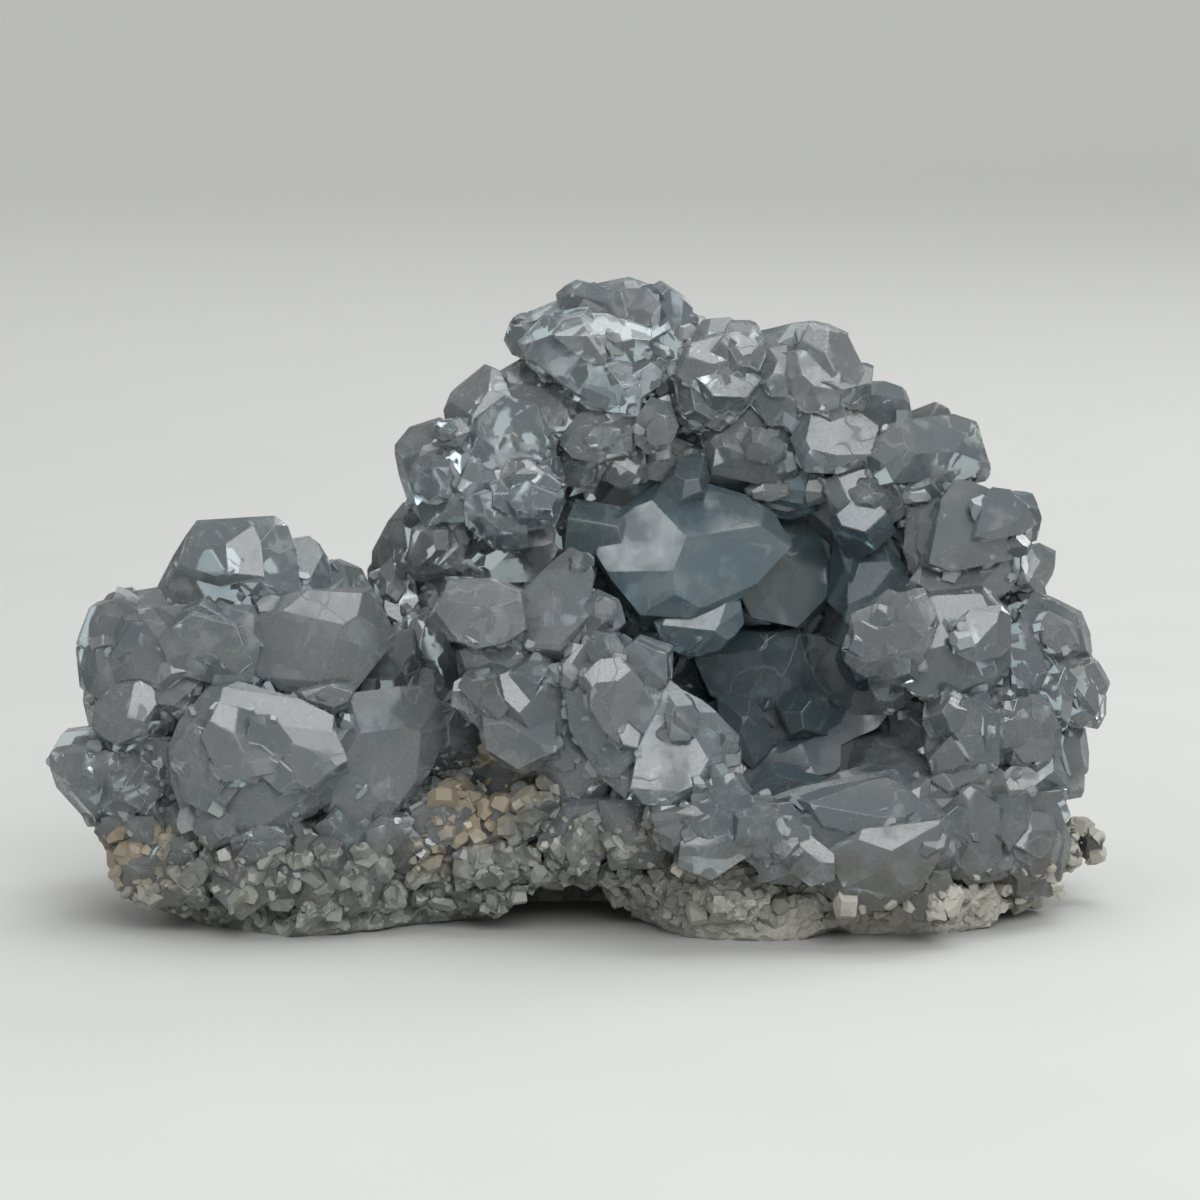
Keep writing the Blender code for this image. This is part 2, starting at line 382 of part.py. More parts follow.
def outlined_crystal(row, grow=0.0):
    """A crystal whose widest section is the row's outline, with sloping faces up to a flat face in front."""
    ahead = facing(row.turn, row.tilt)
    middle_u = sum(u for u, _ in row.outline) / len(row.outline)
    middle_v = sum(v for _, v in row.outline) / len(row.outline)
    _, centre = on_card(middle_u, middle_v, row.depth)
    girdle = []
    for u, v in row.outline:
        eye, spot = on_card(u, v, row.depth)
        ray = spot - eye
        girdle.append(eye + ray * (centre - eye).dot(ahead) / ray.dot(ahead))
    mesh = block(centre, 3 * max((spot - centre).length for spot in girdle) + row.body)
    cut(mesh, centre + ahead * (row.rise + grow), ahead)
    cut(mesh, centre - ahead * (row.body + grow), -ahead)
    for i, start in enumerate(girdle):
        along = girdle[(i + 1) % len(girdle)] - start
        outward = along.cross(ahead).normalized()
        if outward.dot(start - centre) < 0:
            outward.negate()
        slope = math.radians(SLOPES[(i + len(row.name)) % len(SLOPES)])
        taper = math.radians(TAPER)
        for normal in (outward * math.cos(slope) + ahead * math.sin(slope),
                       outward * math.cos(taper) - ahead * math.sin(taper)):
            cut(mesh, start + normal * grow, normal)
    return mesh


def face_direction(indices):
    """The direction of one of the mineral's own faces, in a crystal that points along X."""
    return Vector([index / edge for index, edge in zip(indices, CELL)]).normalized()


def grown_crystal(base, pointing, twist, width, reach, grow=0.0):
    """A crystal of the mineral's own faces that stands out of base by reach."""
    turn = pointing.to_track_quat("X", "Z") @ Quaternion((1, 0, 0), twist)
    mesh = block(base, 3 * (width + reach))
    for indices in PRISM_FACES:
        normal = turn @ face_direction(indices)
        breadth = width * (0.36 if indices[1] == 0 else 0.5)
        cut(mesh, base + normal * (breadth + grow), normal)
    for indices in TIP_FACES:
        normal = turn @ face_direction(indices)
        bluntness = 0.78 if indices[1] == 0 else 1.0
        cut(mesh, base + pointing * reach * bluntness + normal * grow, normal)
    cut(mesh, base - pointing * (SMALL_ROOT + grow), -pointing)
    return mesh


def ellipsoid(lump, grow=0.0, detail=2):
    mesh = bmesh.new()
    bmesh.ops.create_icosphere(mesh, subdivisions=detail, radius=1.0)
    for vert in mesh.verts:
        radii = Vector((lump.rx + grow, lump.ry + grow, lump.rz + grow))
        vert.co = Vector((lump.x, lump.y, lump.z)) + vert.co * radii
    return mesh


def inside(lump, point, grow=0.0):
    away = point - Vector((lump.x, lump.y, lump.z))
    share = Vector((away.x / (lump.rx + grow), away.y / (lump.ry + grow), away.z / (lump.rz + grow)))
    return share.length < 1


def spread(lump, count):
    """Points set evenly round a lump, each with its direction out of the lump."""
    golden = math.pi * (3 - math.sqrt(5))
    for i in range(count):
        height = 1 - 2 * (i + 0.5) / count
        ring = math.sqrt(1 - height * height)
        unit = Vector((ring * math.cos(golden * i), ring * math.sin(golden * i), height))
        point = Vector((lump.x + unit.x * lump.rx, lump.y + unit.y * lump.ry, lump.z + unit.z * lump.rz))
        yield point, Vector((unit.x / lump.rx, unit.y / lump.ry, unit.z / lump.rz)).normalized()


def small_crystals(grow=0.0):
    """The crystals that fill the places between the outlined ones, and cover the top and the sides behind."""
    chance = random.Random(7)
    made = []
    for i, lump in enumerate(CRUST_LUMPS):
        others = CRUST_LUMPS[:i] + CRUST_LUMPS[i + 1:]
        for point, outward in spread(lump, SMALL_COUNTS[i]):
            lean = Vector([chance.uniform(-0.35, 0.35) for _ in range(3)])
            twist = chance.uniform(0, math.pi)
            size = chance.uniform(0.8, 1.25)
            in_rind = point.z < RIND_LINE + RIND_RISE * max(0.0, point.y)
            buried = any(inside(other, point, -2) for other in others)
            if outward.y < FRONT_LIMIT or in_rind or buried or inside(POCKET, point, POCKET_WALL):
                continue
            pointing = (outward + lean).normalized()
            made.append(grown_crystal(point, pointing, twist, 8.6 * size, 4.4 * size, grow))
    return made


def solid_object(name, mesh):
    bmesh.ops.recalc_face_normals(mesh, faces=mesh.faces)
    data = bpy.data.meshes.new(name)
    mesh.to_mesh(data)
    mesh.free()
    obj = bpy.data.objects.new(name, data)
    bpy.context.scene.collection.objects.link(obj)
    return obj


def with_modifiers_applied(obj):
    graph = bpy.context.evaluated_depsgraph_get()
    old = obj.data
    obj.data = bpy.data.meshes.new_from_object(obj.evaluated_get(graph))
    obj.modifiers.clear()
    bpy.data.meshes.remove(old)
    return obj


def combine(obj, meshes, operation):
    """Joins the meshes to the object, or cuts them from it, or keeps what they share with it."""
    group = bpy.data.collections.new("tools")
    bpy.context.scene.collection.children.link(group)
    for mesh in meshes:
        tool = solid_object("tool", mesh)
        bpy.context.scene.collection.objects.unlink(tool)
        group.objects.link(tool)
    boolean = obj.modifiers.new("combine", "BOOLEAN")
    boolean.operation = operation
    boolean.solver = "EXACT"
    boolean.operand_type = "COLLECTION"
    boolean.collection = group
    with_modifiers_applied(obj)
    for tool in list(group.objects):
        bpy.data.objects.remove(tool)
    bpy.data.collections.remove(group)


def thin_out(obj, triangles):
    """Takes the least telling points away until that many triangles are left."""
    mesh = bmesh.new()
    mesh.from_mesh(obj.data)
    bmesh.ops.triangulate(mesh, faces=mesh.faces)
    now = len(mesh.faces)
    mesh.to_mesh(obj.data)
    mesh.free()
    if now > triangles:
        decimate = obj.modifiers.new("coarser", "DECIMATE")
        decimate.ratio = triangles / now
        with_modifiers_applied(obj)


def keep_largest_body(obj):
    """Drops the crumbs that a cut leaves loose."""
    mesh = bmesh.new()
    mesh.from_mesh(obj.data)
    unseen = set(mesh.verts)
    bodies = []
    while unseen:
        body = {unseen.pop()}
        edge_of_body = list(body)
        while edge_of_body:
            vert = edge_of_body.pop()
            for edge in vert.link_edges:
                other = edge.other_vert(vert)
                if other in unseen:
                    unseen.remove(other)
                    body.add(other)
                    edge_of_body.append(other)
        bodies.append(body)
    bodies.sort(key=len, reverse=True)
    for body in bodies[1:]:
        bmesh.ops.delete(mesh, geom=list(body), context="VERTS")
    mesh.to_mesh(obj.data)
    mesh.free()


def outer_rows():
    return LEFT_CRYSTALS + CENTRE_CRYSTALS + RIGHT_CRYSTALS + TOP_CRYSTALS


def crystals(grow=0.0):
    """Everything that grew outside the hollow, as separate shapes."""
    return [outlined_crystal(row, grow) for row in outer_rows()] + small_crystals(grow)


def ground(height):
    """What lies under that height."""
    mesh = bmesh.new()
    size = Matrix.Diagonal((200.0, 200.0, 40.0, 1.0))
    bmesh.ops.create_cube(mesh, size=1.0, matrix=Matrix.Translation((0, 0, height - 20.0)) @ size)
    return mesh


def arch():
    """The low gap under the front between the two feet."""
    mesh = bmesh.new()
    bmesh.ops.create_cone(mesh, cap_ends=True, segments=14, radius1=1.0, radius2=0.7, depth=1.0)
    turn = Matrix.Rotation(math.radians(90), 4, "X")
    size = Matrix.Diagonal((ARCH_WIDTH / 2, 60.0, ARCH_HEIGHT, 1.0))
    place = Matrix.Translation((ARCH_CENTRE, ARCH_BACK - 30.0, 0.0))
    bmesh.ops.transform(mesh, matrix=place @ size @ turn, verts=mesh.verts)
    return mesh


def crust_body(name, grow=0.0):
    """The masses of crystal with the hollow taken out of them."""
    obj = solid_object(name, ellipsoid(CRUST_LUMPS[0], grow))
    combine(obj, [ellipsoid(lump, grow) for lump in CRUST_LUMPS[1:]], "UNION")
    combine(obj, [ellipsoid(POCKET, POCKET_WALL - grow), ground(CRUST_FLOOR - grow)], "DIFFERENCE")
    return obj


def outer_crystals():
    obj = crust_body("crystals")
    combine(obj, crystals(), "UNION")
    keep_largest_body(obj)
    thin_out(obj, CRYSTAL_FACES)
    return obj


def rough_stone():
    """The rind before the crystals' roots are cut from it: lumps run together, with a grainy skin."""
    base = solid_object("matrix", ellipsoid(MATRIX_LUMPS[0]))
    combine(base, [ellipsoid(lump) for lump in MATRIX_LUMPS[1:]], "UNION")
    remesh = base.modifiers.new("grain", "REMESH")
    remesh.mode = "VOXEL"
    remesh.voxel_size = MATRIX_VOXEL
    with_modifiers_applied(base)
    for vert in base.data.vertices:
        coarse = noise.noise(vert.co * 0.11)
        fine = noise.noise(vert.co * 0.33)
        vert.co += vert.normal * MATRIX_GRAIN * (1.5 * coarse + fine)
    thin_out(base, MATRIX_FACES)
    return base


def shape_of(obj):
    """The object's shape alone. The object goes."""
    mesh = bmesh.new()
    mesh.from_mesh(obj.data)
    bpy.data.objects.remove(obj)
    return mesh


def stone_rind():
    obj = rough_stone()
    roots = crystals(GAP) + [shape_of(crust_body("roots", GAP))]
    combine(obj, roots + [ellipsoid(POCKET, POCKET_WALL), arch(), ground(0.0)], "DIFFERENCE")
    keep_largest_body(obj)
    return obj


def lining_crystals():
    """The small crystals that stand in from the hollow's wall, between its outlined ones."""
    chance = random.Random(3)
    made = []
    for point, outward in spread(POCKET, LINING_COUNT):
        lean = Vector([chance.uniform(-0.5, 0.5) for _ in range(3)])
        twist = chance.uniform(0, math.pi)
        size = chance.uniform(0.8, 1.3)
        if point.y > LINING_FRONT:
            made.append(grown_crystal(point, (lean - outward).normalized(), twist, 5.2 * size, 3.4 * size))
    return made


def pocket_crust():
    """The hollow's lining: a thin wall of crystal with the hollow's own crystals standing in it."""
    space = solid_object("space", ellipsoid(POCKET))
    combine(space, [ellipsoid(MOUTH)], "UNION")
    grown = [outlined_crystal(row) for row in POCKET_CRYSTALS] + lining_crystals()
    combine(space, grown, "DIFFERENCE")
    keep_largest_body(space)
    obj = solid_object("pocket_crystals", ellipsoid(POCKET, POCKET_WALL - GAP))
    combine(obj, [shape_of(space)] + crystals(GAP), "DIFFERENCE")
    keep_largest_body(obj)
    return obj


def material(name, colour, roughness):
    made = bpy.data.materials.new(name)
    made.use_nodes = True
    shader = made.node_tree.nodes["Principled BSDF"]
    shader.inputs["Base Color"].default_value = (*colour, 1.0)
    shader.inputs["Roughness"].default_value = roughness
    shader.inputs["Metallic"].default_value = 0.0
    made.diffuse_color = (*colour, 1.0)
    return made


def finish(obj, finish_material, middle):
    """Moves the node so that the whole stone stands over the origin, and turns millimetres into metres."""
    for vert in obj.data.vertices:
        vert.co = (vert.co - middle) * MM
    obj.data.materials.clear()
    obj.data.materials.append(finish_material)


def box_middle(objects):
    corners = [vert.co for obj in objects for vert in obj.data.vertices]
    low = [min(corner[i] for corner in corners) for i in range(3)]
    high = [max(corner[i] for corner in corners) for i in range(3)]
    return Vector(((low[0] + high[0]) / 2, (low[1] + high[1]) / 2, 0.0))


def build():
    for obj in list(bpy.data.objects):
        bpy.data.objects.remove(obj)
    nodes = [outer_crystals(), stone_rind(), pocket_crust()]
    materials = [
        material("pale_blue_crystal", (0.42, 0.50, 0.56), 0.15),
        material("stone_rind", (0.34, 0.30, 0.24), 0.85),
        material("deep_blue_crystal", (0.16, 0.24, 0.28), 0.12),
    ]
    middle = box_middle(nodes)
    for obj, finish_material in zip(nodes, materials):
        finish(obj, finish_material, middle)


build()
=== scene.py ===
"""The looks of a celestite geode: milky blue crystals over a rough stone rind, with a hollow on the right."""

import math
import random
from bisect import bisect_left
from collections import namedtuple

import bpy
from mathutils import Matrix, Quaternion, Vector, noise
from mathutils.bvhtree import BVHTree


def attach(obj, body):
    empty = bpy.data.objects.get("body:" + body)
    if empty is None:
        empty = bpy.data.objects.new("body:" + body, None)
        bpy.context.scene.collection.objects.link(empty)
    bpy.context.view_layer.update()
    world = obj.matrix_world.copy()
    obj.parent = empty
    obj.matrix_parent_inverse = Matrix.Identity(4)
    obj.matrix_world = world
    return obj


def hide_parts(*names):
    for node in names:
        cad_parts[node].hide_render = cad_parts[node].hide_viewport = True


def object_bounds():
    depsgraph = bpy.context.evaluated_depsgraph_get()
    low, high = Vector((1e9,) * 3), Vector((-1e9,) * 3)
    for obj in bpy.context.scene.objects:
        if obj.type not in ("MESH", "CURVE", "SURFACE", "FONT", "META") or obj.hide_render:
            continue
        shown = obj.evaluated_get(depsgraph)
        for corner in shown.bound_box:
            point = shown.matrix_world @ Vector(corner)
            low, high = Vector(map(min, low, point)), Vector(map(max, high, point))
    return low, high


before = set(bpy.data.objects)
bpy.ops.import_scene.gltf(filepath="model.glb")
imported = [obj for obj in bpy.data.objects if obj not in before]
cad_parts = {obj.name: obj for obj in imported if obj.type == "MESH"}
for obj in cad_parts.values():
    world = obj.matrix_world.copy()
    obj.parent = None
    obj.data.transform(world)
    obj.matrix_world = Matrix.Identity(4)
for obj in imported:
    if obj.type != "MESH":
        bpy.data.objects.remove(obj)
CAD_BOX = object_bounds()

# Driving dimensions. The crystals' outlines are in millimetres on a card that stands in the front view.
MM = 0.001
LENGTH = 106.0
CARD_LENGTH = 106.1
CARD_Y = -20.0
EYE_AXIS = (1.0, 33.8)
EYE_DISTANCE = 450.0
EYE_RISE = math.radians(9.0)
MIDDLE = Vector((-0.8147, -0.2310, 0.0))
VIEW_WIDTH = 118.7

# Celestite's angles and cell, which give the directions of its faces
SLOPES = (38.0, 51.0, 68.0)
TAPER = 7.0
CELL = (8.36, 5.35, 6.87)
PRISM_FACES = ((0, 1, 1), (0, 1, -1), (0, -1, 1), (0, -1, -1), (0, 0, 1), (0, 0, -1))
TIP_FACES = ((2, 1, 0), (2, -1, 0), (1, 0, 1), (1, 0, -1))
CUT_LIMIT = 1e-7

Crystal = namedtuple("Crystal", "name depth turn tilt rise body outline")
Lump = namedtuple("Lump", "x y z rx ry rz")

# Rows of crystals: name, depth of the girdle, turn to the right and tilt up in degrees, height of the
# flat face over the girdle, length of the body behind it, and the girdle's outline on the card
LEFT_CRYSTALS = (
    Crystal("top_block", -9, -8, 14, 3.0, 14,
            ((-43.0, 33.8), (-41.0, 39.7), (-39.7, 41.5), (-31.4, 42.0), (-30.1, 41.0), (-29.3, 38.8),
             (-28.7, 33.3), (-36.0, 31.8))),
    Crystal("middle_block", -15, -4, 4, 2.2, 12,
            ((-43.2, 33.0), (-39.0, 33.2), (-33.5, 33.2), (-32.0, 29.3), (-32.8, 25.4), (-37.5, 24.6),
             (-42.0, 27.0))),
    Crystal("outer_block", -12, -22, 6, 2.6, 14,
            ((-48.6, 32.6), (-48.0, 34.0), (-43.0, 34.8), (-38.5, 28.8), (-37.7, 25.4), (-41.8, 22.1),
             (-48.7, 23.6), (-49.9, 27.0))),
    Crystal("right_block", -14, 14, 6, 3.2, 13,
            ((-32.8, 33.8), (-29.0, 34.6), (-21.8, 34.9), (-19.4, 30.1), (-23.8, 24.5), (-29.0, 24.3),
             (-32.8, 26.4), (-33.5, 29.8))),
    Crystal("shoulder", -8, 8, 24, 2.0, 12,
            ((-29.6, 40.4), (-28.0, 40.2), (-26.8, 39.3), (-25.7, 37.5), (-25.7, 33.8), (-29.4, 33.8))),
    Crystal("low_shoulder", -7, 24, 24, 1.8, 12,
            ((-26.2, 37.2), (-24.5, 38.2), (-22.8, 37.2), (-21.5, 34.6), (-21.0, 32.6), (-26.0, 32.6))),
    Crystal("white_knob", -16, -20, 10, 1.4, 10,
            ((-49.5, 21.4), (-48.7, 23.8), (-47.2, 25.5), (-45.3, 26.7), (-43.7, 26.1), (-43.0, 23.5),
             (-44.0, 20.8), (-47.0, 19.6))),
    Crystal("far_cloudy", -12, -28, -6, 2.4, 13,
            ((-53.0, 14.8), (-52.4, 16.8), (-51.0, 20.0), (-46.0, 20.8), (-41.8, 19.6), (-41.2, 16.8),
             (-42.8, 13.5), (-49.0, 12.9), (-52.7, 13.6))),
    Crystal("centre_cloudy", -19, -5, 0, 3.4, 13,
            ((-41.4, 19.3), (-40.5, 21.6), (-37.6, 25.0), (-34.8, 25.5), (-29.0, 23.8), (-25.7, 22.2),
             (-25.0, 17.8), (-26.0, 13.8), (-30.0, 11.3), (-37.5, 10.0), (-40.0, 12.3), (-41.2, 15.8))),
    Crystal("blue_block", -15, 20, 4, 2.6, 13,
            ((-25.9, 21.8), (-23.8, 24.3), (-17.0, 25.2), (-15.0, 23.6), (-14.3, 21.0), (-15.8, 17.0),
             (-18.2, 13.5), (-20.6, 11.6), (-24.5, 11.0), (-26.2, 13.3))),
    Crystal("white_flap", -17, 8, -20, 1.0, 7,
            ((-29.0, 24.6), (-25.5, 25.4), (-23.2, 25.2), (-24.0, 23.2), (-25.8, 22.2), (-27.6, 22.9))),
    Crystal("valley_blue", -6, 12, 6, 2.2, 12,
            ((-20.4, 30.0), (-18.5, 32.6), (-15.8, 32.5), (-13.5, 28.3), (-12.7, 23.8), (-13.8, 18.6),
             (-16.2, 13.8), (-19.5, 13.3), (-21.0, 23.8))),
    Crystal("valley_dark", -2, -10, 20, 1.6, 12,
            ((-21.4, 36.3), (-19.8, 37.8), (-17.8, 37.5), (-17.0, 33.8), (-18.5, 31.5), (-21.0, 32.3))),
    Crystal("valley_back", 0, 5, 14, 1.6, 12,
            ((-18.5, 33.8), (-16.0, 36.8), (-13.0, 37.8), (-11.5, 33.8), (-13.0, 29.8), (-16.5, 29.8))),
    Crystal("low_outer", -14, -18, -16, 1.6, 10,
            ((-49.2, 12.3), (-48.0, 13.5), (-41.0, 13.6), (-38.0, 10.6), (-41.0, 8.3), (-47.0, 9.2))),
    Crystal("low_white", -20.5, 0, -8, 1.0, 8,
            ((-39.5, 11.3), (-37.5, 13.8), (-34.5, 13.2), (-34.5, 10.4), (-37.5, 9.1))),
    Crystal("low_blue", -19, -4, -18, 1.8, 9,
            ((-38.3, 8.8), (-35.5, 10.3), (-30.5, 10.3), (-29.0, 8.6), (-30.5, 6.2), (-33.0, 4.4),
             (-36.5, 4.9), (-38.5, 6.6))),
    Crystal("low_grey", -18.5, 4, -14, 1.3, 8,
            ((-29.8, 8.8), (-26.0, 10.8), (-24.0, 9.4), (-24.5, 6.0), (-28.5, 5.0))),
    Crystal("low_right", -17, 12, -10, 1.6, 9,
            ((-25.2, 10.4), (-20.0, 12.3), (-18.0, 10.8), (-18.6, 7.4), (-22.0, 4.8), (-24.8, 5.9))),
    Crystal("low_brown", -17, -14, -24, 1.3, 9,
            ((-46.5, 8.4), (-41.0, 9.2), (-37.5, 7.0), (-38.6, 4.0), (-43.6, 4.6))),
)
CENTRE_CRYSTALS = (
    Crystal("white_tip", -19, -16, 6, 2.6, 10,
            ((-15.9, 31.8), (-13.9, 35.7), (-9.2, 35.9), (-7.0, 34.8), (-6.6, 31.0), (-8.7, 29.6),
             (-11.2, 29.1), (-13.3, 29.8))),
    Crystal("under_tip", -17, -10, -12, 1.4, 9,
            ((-12.8, 28.8), (-9.0, 30.0), (-6.0, 29.6), (-5.8, 27.0), (-9.0, 26.1), (-12.2, 27.1))),
    Crystal("finger", -16, -6, 26, 2.4, 12,
            ((-6.9, 33.3), (-6.2, 35.2), (-3.5, 37.7), (-2.0, 38.9), (-0.4, 38.2), (0.3, 36.3),
             (-0.3, 31.8), (-3.0, 29.0), (-6.4, 29.4))),
    Crystal("button", -17, 6, 12, 1.6, 9,
            ((-1.4, 33.0), (0.8, 34.8), (2.9, 33.8), (3.5, 31.6), (1.6, 29.4), (-1.2, 30.0))),
    Crystal("front_wall", -20, 4, -4, 3.2, 12,
            ((-2.9, 27.0), (0.0, 29.8), (3.5, 30.2), (6.5, 28.2), (8.0, 25.3), (7.2, 22.0), (3.6, 14.4),
             (1.0, 16.6), (-1.8, 21.0))),
    Crystal("left_wall", -17, -26, -6, 2.4, 11,
            ((-13.5, 27.2), (-10.5, 28.6), (-5.0, 28.0), (-2.4, 23.8), (-2.0, 17.0), (-5.0, 17.4),
             (-9.2, 20.0), (-11.8, 23.6))),
    Crystal("wall_foot", -18, -6, -16, 1.8, 9,
            ((-4.8, 22.2), (-1.0, 21.8), (2.6, 16.3), (1.2, 13.2), (-3.0, 13.6), (-5.6, 17.4))),
    Crystal("front_right", -24, 12, 6, 2.8, 11,
            ((4.2, 15.3), (5.0, 19.3), (7.3, 24.5), (9.2, 25.0), (11.2, 23.8), (14.6, 20.3), (14.3, 18.1),
             (11.5, 14.4), (9.0, 13.3), (5.5, 13.8))),
    Crystal("overgrowth", -25.5, 6, 18, 1.6, 5,
            ((7.4, 22.6), (7.8, 24.4), (9.8, 24.6), (11.0, 22.2), (9.8, 20.0), (8.0, 20.0))),
    Crystal("small_beside", -21, 16, 0, 1.2, 8,
            ((10.8, 15.8), (12.8, 17.0), (15.0, 16.6), (15.9, 14.8), (14.8, 12.2), (12.2, 12.2))),
    Crystal("white_shield", -25, 8, -10, 1.6, 8,
            ((6.2, 12.6), (11.0, 13.9), (13.6, 14.3), (15.1, 12.5), (15.7, 10.3), (14.8, 8.8), (13.4, 8.2),
             (9.0, 8.4), (7.2, 9.9))),
    Crystal("brown_clear", -24, 2, -8, 1.8, 8,
            ((15.7, 11.8), (17.6, 13.4), (20.2, 13.2), (22.6, 10.8), (23.0, 7.8), (20.5, 5.6), (17.2, 6.0),
             (15.6, 9.0))),
    Crystal("low_middle_a", -19, -6, -14, 1.4, 8,
            ((-5.0, 10.3), (-2.0, 13.8), (1.4, 14.0), (2.4, 9.8), (0.4, 7.0), (-4.0, 7.2))),
    Crystal("low_middle_b", -20, 2, -16, 1.4, 8,
            ((1.0, 13.8), (6.4, 14.0), (8.4, 10.3), (6.6, 7.2), (1.8, 7.6))),
    Crystal("low_middle_c", -17, -10, -6, 1.6, 9,
            ((-11.0, 13.2), (-7.0, 15.0), (-3.6, 14.0), (-4.2, 10.8), (-7.6, 9.2), (-10.8, 10.6))),
    Crystal("low_middle_d", -17, 6, -12, 1.4, 8,
            ((-17.6, 12.6), (-14.6, 14.4), (-11.4, 12.8), (-11.8, 9.6), (-14.8, 8.4), (-17.2, 9.6))),
    Crystal("low_middle_e", -18, -4, -24, 1.2, 8,
            ((-13.4, 8.4), (-9.6, 9.4), (-5.2, 8.2), (-5.8, 5.8), (-9.4, 5.2), (-12.8, 6.0))),
    Crystal("slab_top", -22, 4, 30, 2.0, 10,
            ((17.0, 13.8), (21.0, 15.2), (31.5, 17.2), (33.2, 16.0), (35.4, 11.8), (33.5, 8.6), (28.0, 8.4),
             (21.6, 9.6))),
    Crystal("slab_low", -25, 4, -16, 2.0, 9,
            ((22.0, 5.3), (23.8, 8.8), (27.0, 10.9), (35.2, 11.9), (34.8, 8.8), (32.5, 4.8), (29.0, 3.1),
             (24.6, 3.4))),
    Crystal("low_tooth", -23, 8, -10, 1.2, 7,
            ((31.3, 4.0), (33.2, 6.9), (35.5, 6.9), (36.4, 4.3), (35.0, 1.8), (32.2, 2.0))),
)
RIGHT_CRYSTALS = (
    Crystal("grey_face", -17, 16, -6, 1.2, 9,
            ((34.6, 10.8), (35.5, 12.9), (40.2, 13.4), (41.4, 9.8), (41.2, 5.6), (37.0, 5.8), (34.8, 7.9))),
    Crystal("tall_block", -13, 24, -2, 2.0, 10,
            ((40.1, 12.3), (41.8, 14.8), (46.0, 14.4), (47.6, 9.8), (46.2, 5.0), (42.5, 4.2), (40.4, 6.4))),
    Crystal("spur", -2, 40, 10, 1.8, 11,
            ((46.6, 10.3), (47.8, 13.6), (50.2, 14.2), (52.5, 13.1), (53.1, 11.8), (51.0, 9.2), (49.0, 7.9),
             (47.0, 8.2))),
    Crystal("white_round", -15, -12, 4, 2.6, 11,
            ((25.8, 28.3), (26.0, 30.3), (27.2, 33.0), (29.5, 34.7), (31.8, 34.0), (33.4, 30.8), (33.5, 27.8),
             (31.5, 25.3), (28.2, 25.8), (26.3, 27.0))),
    Crystal("big_face", -13, 16, 2, 3.2, 12,
            ((31.2, 31.0), (34.0, 34.0), (39.5, 34.9), (41.5, 32.8), (41.5, 26.8), (39.5, 25.0), (34.0, 23.9),
             (31.4, 25.4))),
    Crystal("clear_small", -13, 4, -20, 1.2, 8,
            ((27.6, 25.9), (31.0, 25.8), (32.0, 24.2), (30.2, 22.6), (28.0, 23.3))),
    Crystal("upper_face", -9, 26, 12, 3.0, 12,
            ((33.8, 37.6), (35.0, 43.8), (36.5, 45.6), (39.5, 45.2), (42.2, 42.7), (43.9, 39.5), (41.5, 37.9),
             (36.0, 36.8))),
    Crystal("upper_inner", -8, -6, 4, 1.6, 10,
            ((31.1, 38.8), (31.5, 43.5), (34.4, 44.2), (35.6, 41.8), (34.7, 37.0), (32.0, 36.3))),
    Crystal("back_white", 0, 40, 10, 1.6, 10,
            ((40.6, 43.0), (42.2, 44.7), (43.8, 44.3), (44.7, 41.8), (44.2, 39.8), (41.5, 38.8))),
    Crystal("right_small", -4, 36, 0, 1.6, 10,
            ((43.0, 38.6), (44.5, 39.4), (46.1, 38.6), (45.9, 36.3), (44.5, 34.2), (42.4, 35.4))),
    Crystal("rim_high", -4, 42, 4, 1.8, 11,
            ((42.8, 32.6), (44.2, 34.8), (46.2, 33.8), (48.5, 32.8), (49.4, 30.6), (49.7, 28.0), (46.0, 27.2),
             (43.2, 29.2))),
    Crystal("rim_middle", -4, 44, -4, 1.8, 11,
            ((44.8, 27.8), (49.6, 28.6), (50.4, 24.2), (50.7, 22.0), (48.5, 21.2), (45.4, 22.0))),
    Crystal("rim_low", -3, 44, -8, 1.6, 11,
            ((45.2, 22.3), (48.4, 21.9), (49.0, 17.8), (48.6, 14.4), (46.0, 14.0), (44.6, 18.8))),
    Crystal("middle_a", -15, 10, -6, 2.2, 10,
            ((33.3, 19.3), (34.0, 23.5), (37.0, 24.4), (39.7, 22.5), (40.5, 18.3), (37.5, 16.6),
             (33.8, 16.9))),
    Crystal("middle_b", -11, 24, -2, 2.2, 10,
            ((38.3, 22.0), (40.8, 24.8), (45.2, 24.2), (46.6, 20.3), (44.4, 17.2), (39.8, 17.6))),
    Crystal("middle_c", -16, 14, -14, 1.4, 8,
            ((33.8, 16.1), (37.0, 17.6), (40.7, 17.0), (41.6, 14.3), (38.5, 12.9), (35.2, 13.3))),
    Crystal("middle_d", -12, 26, -8, 1.8, 9,
            ((40.7, 16.3), (43.5, 18.8), (46.2, 18.6), (47.6, 14.8), (45.2, 13.2), (41.2, 13.6))),
    Crystal("inner_strip", -9, 30, 0, 1.4, 9,
            ((40.8, 30.0), (43.9, 30.6), (45.4, 26.0), (44.4, 23.4), (41.0, 24.0))),
    Crystal("brow", -10, 18, 16, 1.2, 9,
            ((31.2, 35.0), (33.0, 37.2), (41.0, 38.4), (42.6, 35.3), (39.5, 33.8), (33.6, 33.2))),
)
